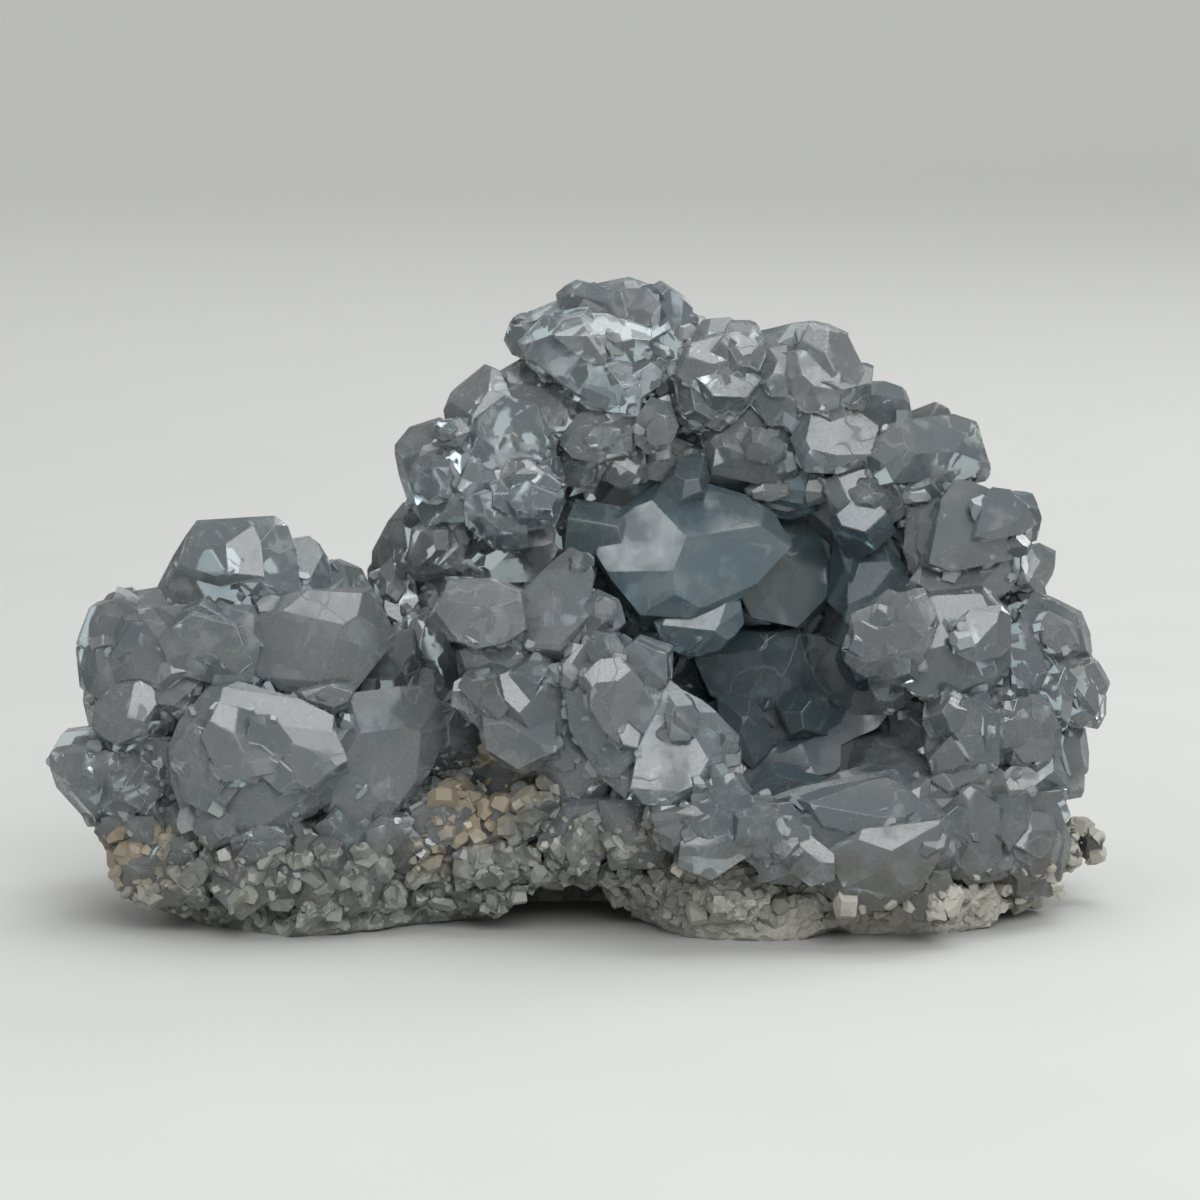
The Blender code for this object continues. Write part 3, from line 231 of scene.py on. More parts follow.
TOP_CRYSTALS = (
    Crystal("dark_block", -6, -26, 18, 2.4, 11,
            ((-14.4, 52.6), (-13.5, 54.8), (-10.6, 57.1), (-9.0, 56.4), (-7.8, 53.8), (-9.0, 50.4),
             (-12.0, 49.0), (-14.0, 50.1))),
    Crystal("dark_ridge", -5, -6, 26, 2.2, 11,
            ((-9.4, 56.0), (-6.5, 57.7), (-2.8, 56.5), (1.0, 53.8), (1.2, 51.0), (-3.0, 50.2), (-8.4, 52.6))),
    Crystal("far_left", -8, -32, 8, 2.4, 12,
            ((-19.2, 49.1), (-17.8, 50.8), (-15.0, 51.7), (-11.8, 50.8), (-10.8, 46.8), (-12.6, 42.6),
             (-16.0, 41.2), (-18.4, 43.6), (-19.1, 46.3))),
    Crystal("white_cap", -10, -20, 14, 1.2, 6,
            ((-15.5, 50.6), (-14.8, 51.7), (-12.8, 51.8), (-11.9, 50.6), (-12.8, 49.0), (-14.8, 49.0))),
    Crystal("left_face", -10, -10, 8, 2.2, 11,
            ((-12.2, 48.3), (-11.2, 51.8), (-8.5, 53.9), (-5.4, 53.1), (-3.8, 49.8), (-5.0, 47.6),
             (-8.0, 46.2), (-10.8, 46.2))),
    Crystal("left_low", -10, -4, -4, 2.2, 11,
            ((-12.3, 41.8), (-11.9, 45.2), (-8.5, 47.7), (-3.2, 47.9), (-2.5, 45.8), (-3.8, 42.9),
             (-8.5, 40.6), (-11.6, 39.9))),
    Crystal("hanging_tip", -7, -24, -10, 2.0, 11,
            ((-18.2, 36.8), (-17.6, 40.8), (-15.0, 42.6), (-12.6, 40.6), (-12.6, 37.8), (-15.0, 36.1),
             (-17.0, 35.5))),
    Crystal("big_face", -9, -10, 16, 2.8, 11,
            ((-6.9, 59.3), (-4.5, 61.8), (0.0, 62.8), (2.8, 59.6), (4.9, 55.0), (4.6, 52.5), (1.6, 52.6),
             (-2.2, 55.0), (-6.2, 58.0))),
    Crystal("left_horn", -4, -30, 18, 2.0, 11,
            ((-8.7, 60.1), (-7.8, 61.6), (-2.8, 63.6), (0.6, 63.4), (0.6, 60.0), (-5.6, 57.6), (-7.6, 58.2))),
    Crystal("crest", -5, -4, 34, 2.4, 12,
            ((-2.6, 63.3), (0.5, 65.0), (3.2, 65.9), (6.2, 64.8), (7.8, 60.8), (5.0, 56.8), (1.6, 58.2),
             (-1.2, 60.4))),
    Crystal("crest_right", -5, 14, 30, 2.2, 12,
            ((5.2, 64.3), (7.2, 65.4), (9.2, 64.1), (10.1, 62.6), (10.0, 58.4), (7.8, 56.0), (5.2, 56.4),
             (4.6, 60.8))),
    Crystal("crest_small", -10, 0, 10, 1.2, 7,
            ((2.6, 56.6), (5.0, 58.0), (7.2, 57.1), (6.9, 55.1), (5.0, 53.9), (3.0, 54.6))),
    Crystal("under_crest", -10, -4, -2, 1.6, 10,
            ((-3.0, 49.8), (-1.0, 52.2), (3.0, 53.0), (5.1, 51.5), (4.2, 48.6), (1.0, 47.4), (-1.7, 47.9))),
    Crystal("under_crest_round", -11, 6, -4, 1.6, 9,
            ((4.4, 51.4), (6.0, 53.8), (7.9, 53.3), (8.7, 51.0), (7.9, 48.9), (5.8, 48.3), (4.5, 49.4))),
    Crystal("middle_block", -8, 6, 12, 2.8, 12,
            ((9.0, 53.8), (10.0, 59.3), (11.2, 61.4), (13.8, 61.6), (17.4, 59.2), (17.5, 55.3), (15.0, 52.4),
             (12.2, 51.0), (9.6, 52.1))),
    Crystal("notch", -3, 0, 24, 1.6, 10,
            ((8.8, 62.4), (10.2, 62.8), (12.0, 61.3), (11.6, 53.2), (7.4, 53.2))),
    Crystal("right_a", -7, 4, 10, 1.6, 10,
            ((15.4, 54.0), (17.4, 58.9), (20.2, 59.4), (21.2, 56.3), (20.4, 51.2), (17.8, 51.2))),
    Crystal("right_b", -6, 14, 22, 2.4, 11,
            ((19.8, 58.6), (21.0, 59.7), (23.0, 60.1), (25.6, 58.8), (27.4, 55.6), (27.2, 52.9), (24.0, 51.8),
             (20.6, 53.4))),
    Crystal("right_back", 1, 24, 20, 1.8, 10,
            ((26.4, 55.4), (29.5, 55.4), (31.4, 54.6), (31.8, 52.0), (29.5, 50.2), (26.6, 51.0))),
    Crystal("right_low", -8, 8, 2, 2.0, 10,
            ((20.0, 49.8), (21.5, 53.0), (25.5, 53.4), (28.4, 51.0), (28.0, 47.4), (24.5, 46.4),
             (21.3, 46.6))),
    Crystal("horn", -3, 40, 12, 3.0, 14,
            ((28.6, 48.8), (30.2, 51.4), (36.0, 52.1), (38.8, 51.2), (41.0, 49.8), (42.1, 48.0), (40.5, 46.5),
             (35.5, 45.6), (30.3, 45.6))),
    Crystal("horn_foot", -6, 20, -8, 1.4, 9,
            ((29.3, 45.8), (34.0, 46.8), (35.8, 44.3), (33.5, 42.2), (30.4, 42.8))),
    Crystal("dark_oval", -7, 0, -14, 1.8, 9,
            ((11.0, 49.8), (13.2, 52.8), (15.8, 53.0), (20.4, 49.8), (20.6, 46.4), (17.5, 45.2),
             (12.2, 46.4))),
    Crystal("round_a", -8, -10, -8, 1.4, 8,
            ((-3.2, 47.6), (-1.6, 49.8), (0.8, 49.4), (1.6, 46.8), (0.0, 44.8), (-2.4, 45.2))),
    Crystal("round_b", -8, 0, -12, 1.4, 8,
            ((1.2, 47.8), (3.2, 49.6), (5.4, 48.4), (5.6, 45.8), (3.4, 44.6), (1.4, 45.8))),
    Crystal("round_c", -7, 6, -12, 1.4, 8,
            ((5.4, 47.6), (7.4, 49.6), (10.6, 48.6), (11.4, 46.4), (8.6, 45.4), (5.8, 45.8))),
    Crystal("ledge_left", -6, -4, -10, 1.2, 8,
            ((15.4, 44.8), (18.0, 46.4), (23.0, 46.2), (23.6, 43.6), (19.6, 42.6), (15.8, 43.2))),
    Crystal("ledge_right", -7, 8, -6, 1.4, 8,
            ((23.2, 45.6), (26.4, 47.0), (30.6, 46.2), (31.6, 42.6), (29.0, 40.8), (24.0, 42.4))),
    Crystal("dark_left", -5, 10, -4, 1.8, 8,
            ((-11.6, 37.8), (-9.4, 41.4), (-6.0, 43.6), (-3.2, 43.6), (-2.4, 38.6), (-4.5, 35.8),
             (-9.4, 35.6))),
    Crystal("dark_inner", -4, 14, -2, 1.6, 8,
            ((-3.0, 42.6), (-1.2, 44.6), (1.4, 43.8), (1.6, 38.4), (-0.4, 36.6), (-2.8, 37.4))),
)
POCKET_CRYSTALS = (
    Crystal("centre", -9, 4, 16, 3.6, 11,
            ((0.7, 39.0), (3.5, 42.8), (8.2, 46.1), (15.2, 44.0), (17.9, 42.4), (19.7, 39.3), (15.2, 34.4),
             (10.0, 32.3), (5.2, 32.6), (2.4, 36.0))),
    Crystal("below_centre", -11, 2, -12, 1.6, 8,
            ((6.5, 31.6), (8.2, 33.0), (14.8, 33.6), (15.2, 31.3), (12.8, 28.9), (10.0, 28.1), (7.6, 29.0))),
    Crystal("right_blue", -3, 8, 2, 1.8, 9,
            ((14.6, 41.8), (21.0, 43.6), (24.4, 39.8), (24.4, 33.8), (21.4, 31.1), (16.2, 32.2),
             (14.6, 34.6))),
    Crystal("column", -4, -8, 0, 1.6, 8,
            ((23.6, 33.8), (24.2, 40.3), (26.5, 42.2), (28.2, 40.6), (27.6, 34.8), (25.5, 32.0))),
    Crystal("upper_dark", 1, 0, -14, 2.0, 8,
            ((14.6, 43.8), (17.0, 45.8), (24.0, 46.6), (28.0, 46.2), (31.0, 43.3), (31.2, 39.0), (28.5, 37.0),
             (21.0, 40.8))),
    Crystal("dark_middle", 0, 6, -10, 1.8, 8,
            ((0.6, 41.4), (1.2, 45.8), (5.0, 48.7), (10.0, 49.4), (11.6, 45.8), (6.4, 41.0))),
    Crystal("floor_dark", 1, -4, 12, 1.8, 8,
            ((17.6, 17.6), (19.8, 21.2), (24.0, 22.6), (27.4, 19.8), (28.2, 15.9), (21.0, 14.7))),
    Crystal("floor_right", -1, -12, 4, 1.8, 8,
            ((24.8, 21.8), (29.0, 24.4), (34.2, 24.2), (35.2, 19.8), (33.4, 16.7), (27.8, 16.2))),
    Crystal("middle_face", -2, 4, 4, 1.8, 8,
            ((10.6, 27.8), (13.0, 30.8), (21.2, 31.4), (22.2, 24.8), (20.2, 19.9), (16.5, 21.7),
             (12.1, 24.4))),
    Crystal("middle_small", -5, 0, 6, 1.4, 7,
            ((12.6, 24.3), (16.0, 24.4), (18.5, 19.8), (16.0, 17.2), (13.1, 19.8))),
    Crystal("slab", -2, -6, 0, 1.4, 8,
            ((21.6, 30.2), (25.0, 30.4), (26.6, 23.8), (24.4, 20.2), (21.6, 21.4))),
    Crystal("side_column", -6, -14, 4, 1.4, 8,
            ((25.2, 36.8), (28.8, 39.8), (31.8, 36.3), (29.0, 31.4), (25.1, 30.6))),
    Crystal("floor_step", -8, 0, 18, 1.2, 7,
            ((15.4, 14.8), (17.8, 17.8), (24.4, 16.8), (23.0, 13.8), (18.0, 12.8))),
)

# Rounded masses of crystal that the crystals grow from, and the hollow
CRUST_LUMPS = (
    Lump(16, 2, 25, 29, 12, 31),
    Lump(-33, -2, 19, 15, 12, 17),
    Lump(3, -7, 15, 19, 10, 13),
    Lump(-9, 3, 31, 12, 8, 12),
    Lump(29, -8, 12, 17, 12, 9),
    Lump(-28, -7, 11, 19, 11, 7),
)
POCKET = Lump(14, -10, 30, 17, 13, 15)
POCKET_WALL = 3.0
CRUST_FLOOR = 6.0
LUMP_INSET = -2.2
OVER_SIZE = 0.0007
# How far back, in metres along Y, the painted shade of the hollow's crystals starts and becomes full
HOLLOW_SHADE_FRONT = -0.010
HOLLOW_SHADE_BACK = 0.002

# The small crystals that cover the top, the sides and the hollow
SMALL_COUNTS = (58, 34, 12, 18, 16, 14)
FRONT_LIMIT = -0.35
RIND_LINE = 12.0
RIND_RISE = 1.1
LINING_COUNT = 44
LINING_FRONT = -7.0
EDGE_WIDTH = 0.08
TIP_RISE = 1.25
GROWN_OVER = 1.045
BROKEN_BLOCKS = 7
BROKEN_FRONTS = ("centre_cloudy", "far_cloudy", "middle_block", "outer_block", "front_wall", "left_wall", "white_round",
                 "middle_a", "middle_b", "rim_middle", "crest", "right_b", "left_low", "white_shield", "brown_clear",
                 "low_outer", "low_blue", "low_grey", "low_right", "low_brown", "grey_face", "tall_block")

# The crumbs and the finest crystals
RIND_VOXEL = 0.00055
GRAIN_TRIES = 25000
DRUSE_TRIES = 6500
GRAIN_BAND = ((-0.053, 0.010), (-0.030, 0.009), (-0.017, 0.012), (-0.010, 0.018), (-0.003, 0.015), (0.004, 0.012),
              (0.012, 0.009), (0.018, 0.006), (0.034, 0.005), (0.042, 0.007), (0.053, 0.008))


# Places and directions

def on_card(u, v, depth):
    """The eye, and the point at that depth that it sees at (u, v) on the card, in millimetres."""
    scale = LENGTH / CARD_LENGTH
    right = Vector((1, 0, 0))
    up = Vector((0, math.sin(EYE_RISE), math.cos(EYE_RISE)))
    ahead = Vector((0, math.cos(EYE_RISE), -math.sin(EYE_RISE)))
    foot = Vector((0, CARD_Y, 0))
    eye = foot + (right * EYE_AXIS[0] + up * EYE_AXIS[1]) * scale - ahead * EYE_DISTANCE
    spot = foot + (right * u + up * v) * scale
    return eye, eye + (spot - eye) * (depth - eye.y) / (spot.y - eye.y)


def facing(turn, tilt):
    """The direction of a face turned to the right and tilted up, in degrees, from straight at the eye."""
    a, b = math.radians(turn), math.radians(tilt) + EYE_RISE
    return Vector((math.sin(a) * math.cos(b), -math.cos(a) * math.cos(b), math.sin(b)))


def placed(point):
    """Where a point of the outlines' millimetres lies in the model."""
    return (point - MIDDLE) * MM


def deselect():
    if bpy.context.object and bpy.context.object.mode != "OBJECT":
        bpy.ops.object.mode_set(mode="OBJECT")
    bpy.ops.object.select_all(action="DESELECT")


def pick(obj):
    deselect()
    obj.select_set(True)
    bpy.context.view_layer.objects.active = obj
    return obj


def joined(name, objects):
    pick(objects[0])
    for obj in objects:
        obj.select_set(True)
    bpy.ops.object.join()
    obj = bpy.context.object
    obj.name = name
    obj.data.name = name
    return obj


def apply_modifiers(obj):
    pick(obj)
    for modifier in list(obj.modifiers):
        bpy.ops.object.modifier_apply(modifier=modifier.name)


def combine(obj, tools, operation):
    """Joins the tools to the object, or cuts them from it."""
    group = bpy.data.collections.new("tools")
    for tool in tools:
        group.objects.link(tool)
    boolean = obj.modifiers.new("combine", "BOOLEAN")
    boolean.operation = operation
    boolean.solver = "MANIFOLD"
    boolean.operand_type = "COLLECTION"
    boolean.collection = group
    apply_modifiers(obj)
    bpy.data.collections.remove(group)
    for tool in tools:
        bpy.data.objects.remove(tool)


# One crystal

def slice_off(point, normal):
    """Cuts away what lies beyond a flat face through point, and closes the cut."""
    bpy.ops.mesh.select_all(action="SELECT")
    bpy.ops.mesh.bisect(plane_co=point, plane_no=normal, use_fill=True, clear_outer=True, threshold=CUT_LIMIT)


def start_block(centre, size):
    deselect()
    bpy.ops.mesh.primitive_cube_add(size=size, location=centre)
    bpy.ops.object.mode_set(mode="EDIT")
    bpy.ops.mesh.select_mode(type="FACE")


def finish_block(name, edge_width, shade, depth=0.0):
    """Breaks the edges by a thin flat, and stores each face's random tone (shade), whether it is such a flat, and its
    depth: the share of painted shade that darkens it.
    """
    bpy.ops.mesh.select_all(action="SELECT" if edge_width else "DESELECT")
    if edge_width:
        bpy.ops.mesh.bevel(offset=edge_width, offset_type="WIDTH", segments=1, clamp_overlap=True)
    bpy.ops.object.mode_set(mode="OBJECT")
    obj = bpy.context.object
    obj.name = name
    growth = obj.data.attributes.new("growth", "FLOAT_VECTOR", "FACE")
    for face in obj.data.polygons:
        growth.data[face.index].vector = (shade, 1.0 if face.select else 0.0, depth)
    bpy.ops.object.transform_apply(location=True, rotation=True, scale=True)
    return obj


def centre_of(row):
    middle_u = sum(u for u, _ in row.outline) / len(row.outline)
    middle_v = sum(v for _, v in row.outline) / len(row.outline)
    return on_card(middle_u, middle_v, row.depth)[1]


def girdle_of(row, centre, ahead):
    """The outline's corners on the plane across the crystal."""
    corners = []
    for u, v in row.outline:
        eye, spot = on_card(u, v, row.depth)
        ray = spot - eye
        corners.append(eye + ray * (centre - eye).dot(ahead) / ray.dot(ahead))
    return corners


def outward_faces(row, centre, girdle, ahead, chance):
    """Each side of the girdle: its first corner, its direction outwards, and the slope of the face in front of it."""
    for i, start in enumerate(girdle):
        along = girdle[(i + 1) % len(girdle)] - start
        outward = along.cross(ahead).normalized()
        if outward.dot(start - centre) < 0:
            outward.negate()
        slope = SLOPES[(i + len(row.name)) % len(SLOPES)] + chance.uniform(-12, 12)
        yield start, outward, math.radians(slope)


def front_faces(row, centre, ahead, reach, chance):
    """The few large faces that slope away from the tip, each as a point on it and its direction."""
    across = ahead.cross(Vector((0.3, 0.2, 1))).normalized()
    upward = ahead.cross(across)
    angle = chance.uniform(0, 2 * math.pi)
    for _ in range(3):
        side = across * math.cos(angle) + upward * math.sin(angle)
        share = chance.uniform(0.0, 0.35)
        fall = row.rise * chance.uniform(0.8, 1.7) / ((1 - share) * reach)
        yield centre + side * share * reach + ahead * TIP_RISE * row.rise, (ahead + side * fall).normalized()
        angle += chance.uniform(1.6, 2.6)


def outlined_crystal(row, chance, chips=2):
    """A crystal on its outline, with sloping faces in front up to its tip, and chips off its corners."""
    ahead = facing(row.turn, row.tilt)
    centre = centre_of(row)
    girdle = [centre + (spot - centre) * GROWN_OVER for spot in girdle_of(row, centre, ahead)]
    reach = max((spot - centre).length for spot in girdle)
    start_block(placed(centre), 2 * (3 * reach + row.body) * MM)
    slice_off(placed(centre + ahead * TIP_RISE * row.rise), ahead)
    slice_off(placed(centre - ahead * row.body), -ahead)
    for point, normal in front_faces(row, centre, ahead, reach, chance):
        slice_off(placed(point), normal)
    taper = math.radians(TAPER)
    for start, outward, slope in outward_faces(row, centre, girdle, ahead, chance):
        slice_off(placed(start), outward * math.cos(slope) + ahead * math.sin(slope))
        slice_off(placed(start), outward * math.cos(taper) - ahead * math.sin(taper))
    for _ in range(chips):
        start = chance.choice(girdle)
        lean = Vector([chance.uniform(-0.4, 0.4) for _ in range(3)])
        normal = ((start - centre).normalized() + ahead * chance.uniform(0.5, 1.3) + lean).normalized()
        slice_off(placed(start - normal * chance.uniform(0.03, 0.1) * reach), normal)
    return finish_block(row.name, EDGE_WIDTH * MM, chance.random())


def satellites(row, masters, chance):
    """Small crystals grown on a crystal's shoulders, along with it."""
    ahead = facing(row.turn, row.tilt)
    centre = centre_of(row)
    girdle = girdle_of(row, centre, ahead)
    made = []
    for _ in range(chance.choice((0, 1, 2, 3))):
        i = chance.randrange(len(girdle))
        corner = girdle[i].lerp(girdle[(i + 1) % len(girdle)], chance.random())
        side = (corner - centre).normalized()
        lean = Vector([chance.uniform(-0.3, 0.3) for _ in range(3)])
        size = chance.uniform(0.9, 2.0)
        base = corner - side * 0.9 * size - ahead * chance.uniform(0.2, 2.0)
        made.append(small_crystal(chance.choice(masters), placed(base), (ahead + 0.5 * side + lean).normalized(),
                                  chance.uniform(0, math.pi), 1.7 * size * MM, 1.5 * size * MM, 2.5 * MM,
                                  chance.random()))
    return made


def growth_step(row, chance):
    """A smaller crystal grown parallel on another's flat face, which leaves a step round it."""
    ahead = facing(row.turn, row.tilt)
    centre = centre_of(row)
    girdle = girdle_of(row, centre, ahead)
    share = chance.uniform(0.45, 0.7)
    slide = (chance.choice(girdle) - centre) * chance.uniform(0.1, 0.8) * (1 - share)
    girdle = [centre + (corner - centre) * share + slide for corner in girdle]
    lift = row.rise + chance.uniform(0.25, 0.7)
    start_block(placed(centre), 60 * MM)
    slice_off(placed(centre + ahead * lift), ahead)
    slice_off(placed(centre - ahead * 0.5 * row.body), -ahead)
    taper = math.radians(TAPER)
    for start, outward, slope in outward_faces(row, centre + slide, girdle, ahead, chance):
        rim = placed(start + ahead * (lift - 0.8))
        slice_off(rim, outward * math.cos(slope) + ahead * math.sin(slope))
        slice_off(rim, outward * math.cos(taper) - ahead * math.sin(taper))
    return finish_block(row.name + "_step", 0.6 * EDGE_WIDTH * MM, chance.random())


def broken_front(row, masters, chance):
    """The many small blocks that make up the front of a crystal that grew or broke unevenly."""
    ahead = facing(row.turn, row.tilt)
    centre = centre_of(row)
    girdle = girdle_of(row, centre, ahead)
    made = []
    for _ in range(BROKEN_BLOCKS):
        i = chance.randrange(len(girdle))
        corner = girdle[i].lerp(girdle[(i + 1) % len(girdle)], chance.random())
        share = math.sqrt(chance.random()) * 0.65
        lean = Vector([chance.uniform(-0.5, 0.5) for _ in range(3)])
        base = centre.lerp(corner, share) + ahead * (row.rise * (1.0 - share * share) - 0.7)
        size = chance.uniform(1.1, 2.6)
        made.append(small_crystal(chance.choice(masters), placed(base), (ahead + lean).normalized(),
                                  chance.uniform(0, math.pi), 3.0 * size * MM, 0.8 * size * MM, 2.0 * MM,
                                  chance.random()))
    return made


def face_direction(indices):
    """The direction of one of the mineral's own faces, in a crystal that points along X."""
    return Vector([index / edge for index, edge in zip(indices, CELL)]).normalized()


def master_crystal(name, edge_width, bluntness, breadth, tips):
    """A small crystal of unit size along X, with the mineral's own faces."""
    start_block(Vector(), 4.0)
    for indices in PRISM_FACES:
        normal = face_direction(indices)
        slice_off(normal * (breadth if indices[1] == 0 else 0.5), normal)
    for share, indices in zip(tips, TIP_FACES):
        slice_off(Vector((share * (bluntness if indices[1] == 0 else 1.0), 0, 0)), face_direction(indices))
    slice_off(Vector((-1, 0, 0)), Vector((-1, 0, 0)))
    return finish_block(name, edge_width, 0.5)


def master_crystals(edge_width):
    return [
        master_crystal("pointed_form", edge_width, 0.90, 0.42, (1.0, 1.0, 1.0, 1.0)),
        master_crystal("blunt_form", edge_width, 0.72, 0.38, (1.0, 0.8, 1.0, 0.9)),
        master_crystal("chisel_form", edge_width, 0.80, 0.30, (1.0, 0.95, 0.8, 1.0)),
        master_crystal("blocky_form", edge_width, 0.70, 0.46, (0.75, 0.9, 0.9, 0.8)),
    ]


def small_crystal(master, base, pointing, twist, width, reach, root, shade, depth=0.0):
    """A copy of a small form that stands out of base by reach and goes into it by root. All in metres. Its depth is the
    share of painted shade on its faces.
    """
    turn = (pointing.to_track_quat("X", "Z") @ Quaternion((1, 0, 0), twist)).to_matrix()
    data = master.data.copy()
    for vert in data.vertices:
        stretch = reach if vert.co.x > 0 else root
        vert.co = base + turn @ Vector((vert.co.x * stretch, vert.co.y * width, vert.co.z * width))
    for entry in data.attributes["growth"].data:
        entry.vector = (shade, entry.vector[1], depth)
    obj = bpy.data.objects.new("small_crystal", data)
    bpy.context.scene.collection.objects.link(obj)
    return obj


def that_fit(made):
    """The small crystals that stay over the ground and within the stone's size. The others go."""
    kept = []
    for obj in made:
        low = [min(vert.co[i] for vert in obj.data.vertices) for i in range(3)]
        high = [max(vert.co[i] for vert in obj.data.vertices) for i in range(3)]
        over = max(max(CAD_BOX[0][i] - low[i], high[i] - CAD_BOX[1][i]) for i in range(3))
        if over < OVER_SIZE and low[2] > 0:
            kept.append(obj)
        else:
            bpy.data.objects.remove(obj)
    return kept


# Where the small crystals stand

def inside(lump, point, grow=0.0):
    away = point - Vector((lump.x, lump.y, lump.z))
    share = Vector((away.x / (lump.rx + grow), away.y / (lump.ry + grow), away.z / (lump.rz + grow)))
    return share.length < 1


def spread(lump, count):
    """Points set evenly round a lump, each with its direction out of the lump."""
    golden = math.pi * (3 - math.sqrt(5))
    for i in range(count):
        height = 1 - 2 * (i + 0.5) / count
        ring = math.sqrt(1 - height * height)
        unit = Vector((ring * math.cos(golden * i), ring * math.sin(golden * i), height))
        point = Vector((lump.x + unit.x * lump.rx, lump.y + unit.y * lump.ry, lump.z + unit.z * lump.rz))
        yield point, Vector((unit.x / lump.rx, unit.y / lump.ry, unit.z / lump.rz)).normalized()


def shoulder_crystals(masters):
    """The crystals that cover the top, the sides and the back."""
    chance = random.Random(7)
    made = []
    for i, lump in enumerate(CRUST_LUMPS):
        others = CRUST_LUMPS[:i] + CRUST_LUMPS[i + 1:]
        for point, outward in spread(lump, SMALL_COUNTS[i]):
            lean = Vector([chance.uniform(-0.35, 0.35) for _ in range(3)])
            twist = chance.uniform(0, math.pi)
            size = chance.uniform(0.8, 1.25)
            in_rind = point.z < RIND_LINE + RIND_RISE * max(0.0, point.y)
            buried = any(inside(other, point, -2) for other in others)
            over_top = i == 1 and outward.z > 0.2 and outward.y < 0.7
            if outward.y < FRONT_LIMIT or in_rind or buried or over_top or inside(POCKET, point, POCKET_WALL):
                continue
            form = masters[len(made) % len(masters)]
            shade = (0.37 * len(made)) % 1.0
            made.append(small_crystal(form, placed(point), (outward + lean).normalized(), twist,
                                      8.6 * size * MM, 4.4 * size * MM, 3.0 * MM, shade))
    return made


def lining_crystals(masters):
    """The small crystals that stand in from the hollow's wall."""
    chance = random.Random(3)
    made = []
    for point, outward in spread(POCKET, LINING_COUNT):
        lean = Vector([chance.uniform(-0.5, 0.5) for _ in range(3)])
        twist = chance.uniform(0, math.pi)
        size = chance.uniform(0.8, 1.3)
        if point.y > LINING_FRONT:
            form = masters[len(made) % len(masters)]
            # These get the full painted shade here; hollow_crystals sets it again by place.
            made.append(small_crystal(form, placed(point), (lean - outward).normalized(), twist,
                                      5.2 * size * MM, 3.4 * size * MM, 3.0 * MM, chance.random(), 1.0))
    return made


class Surface:
    """Some objects' surface, for finding places on it."""

    def __init__(self, objects):
        self.points = []
        self.faces = []
        for obj in objects:
            first = len(self.points)
            self.points += [vert.co.copy() for vert in obj.data.vertices]
            obj.data.calc_loop_triangles()
            self.faces += [tuple(first + i for i in face.vertices) for face in obj.data.loop_triangles]
        self.tree = BVHTree.FromPolygons(self.points, self.faces)
        self.reach = []
        total = 0.0
        for a, b, c in self.faces:
            total += (self.points[b] - self.points[a]).cross(self.points[c] - self.points[a]).length / 2
            self.reach.append(total)

    def places(self, count, chance):
        """Places set at random over the surface, each with its direction outwards."""
        for _ in range(count):
            at = bisect_left(self.reach, chance.random() * self.reach[-1])
            a, b, c = (self.points[i] for i in self.faces[min(at, len(self.faces) - 1)])
            s, t = chance.random(), chance.random()
            if s + t > 1:
                s, t = 1 - s, 1 - t
            yield a + (b - a) * s + (c - a) * t, (b - a).cross(c - a).normalized()

    def shelter(self, point, outward, chance, reach=0.005, rays=8):
        """How much of what the place faces is the stone itself, from 0 to 1."""
        hits = 0
        for _ in range(rays):
            way = Vector([chance.gauss(0, 1) for _ in range(3)]).normalized()
            if way.dot(outward) < 0:
                way.negate()
            if self.tree.ray_cast(point + outward * 0.0001, way, reach)[0]:
                hits += 1
        return hits / rays


# The pieces

def crust_lump(lump, grow=0.0):
    """A rounded mass with a knobbly skin."""
    deselect()
    bpy.ops.mesh.primitive_ico_sphere_add(subdivisions=4, radius=1.0)
    obj = bpy.context.object
    for vert in obj.data.vertices:
        point = Vector((vert.co.x * (lump.rx + grow), vert.co.y * (lump.ry + grow), vert.co.z * (lump.rz + grow)))
        point += Vector((lump.x, lump.y, lump.z))
        swell = 1 + 0.10 * noise.noise(point * 0.22) + 0.05 * noise.noise(point * 0.7)
        middle = Vector((lump.x, lump.y, lump.z))
        vert.co = placed(middle + (point - middle) * swell)
    # The lumps show only between and under the crystals: they get half of the painted shade, and are frosted all over.
    growth = obj.data.attributes.new("growth", "FLOAT_VECTOR", "FACE")
    for entry in growth.data:
        entry.vector = (0.5, 1.0, 0.5)
    return obj


def ground(height):
    deselect()
    bpy.ops.mesh.primitive_cube_add(size=0.4, location=(0, 0, height * MM - 0.2))
    return bpy.context.object


def outer_rows():
    return LEFT_CRYSTALS + CENTRE_CRYSTALS + RIGHT_CRYSTALS + TOP_CRYSTALS


def outer_crystals(masters):
    """Everything that grew outside the hollow, in one body."""
    chance = random.Random(11)
    body = crust_lump(CRUST_LUMPS[0], LUMP_INSET)
    body.name = "outer_crystals"
    combine(body, [crust_lump(lump, LUMP_INSET) for lump in CRUST_LUMPS[1:]], "UNION")
    combine(body, [crust_lump(POCKET, POCKET_WALL), ground(CRUST_FLOOR)], "DIFFERENCE")
    made = [outlined_crystal(row, chance) for row in outer_rows()]
    made += [growth_step(row, chance) for row in outer_rows() if chance.random() < 0.4]
    for row in outer_rows():
        made += satellites(row, masters, chance)
        if row.name in BROKEN_FRONTS:
            made += broken_front(row, masters, chance)
    combine(body, that_fit(made + shoulder_crystals(masters)), "UNION")
    return body


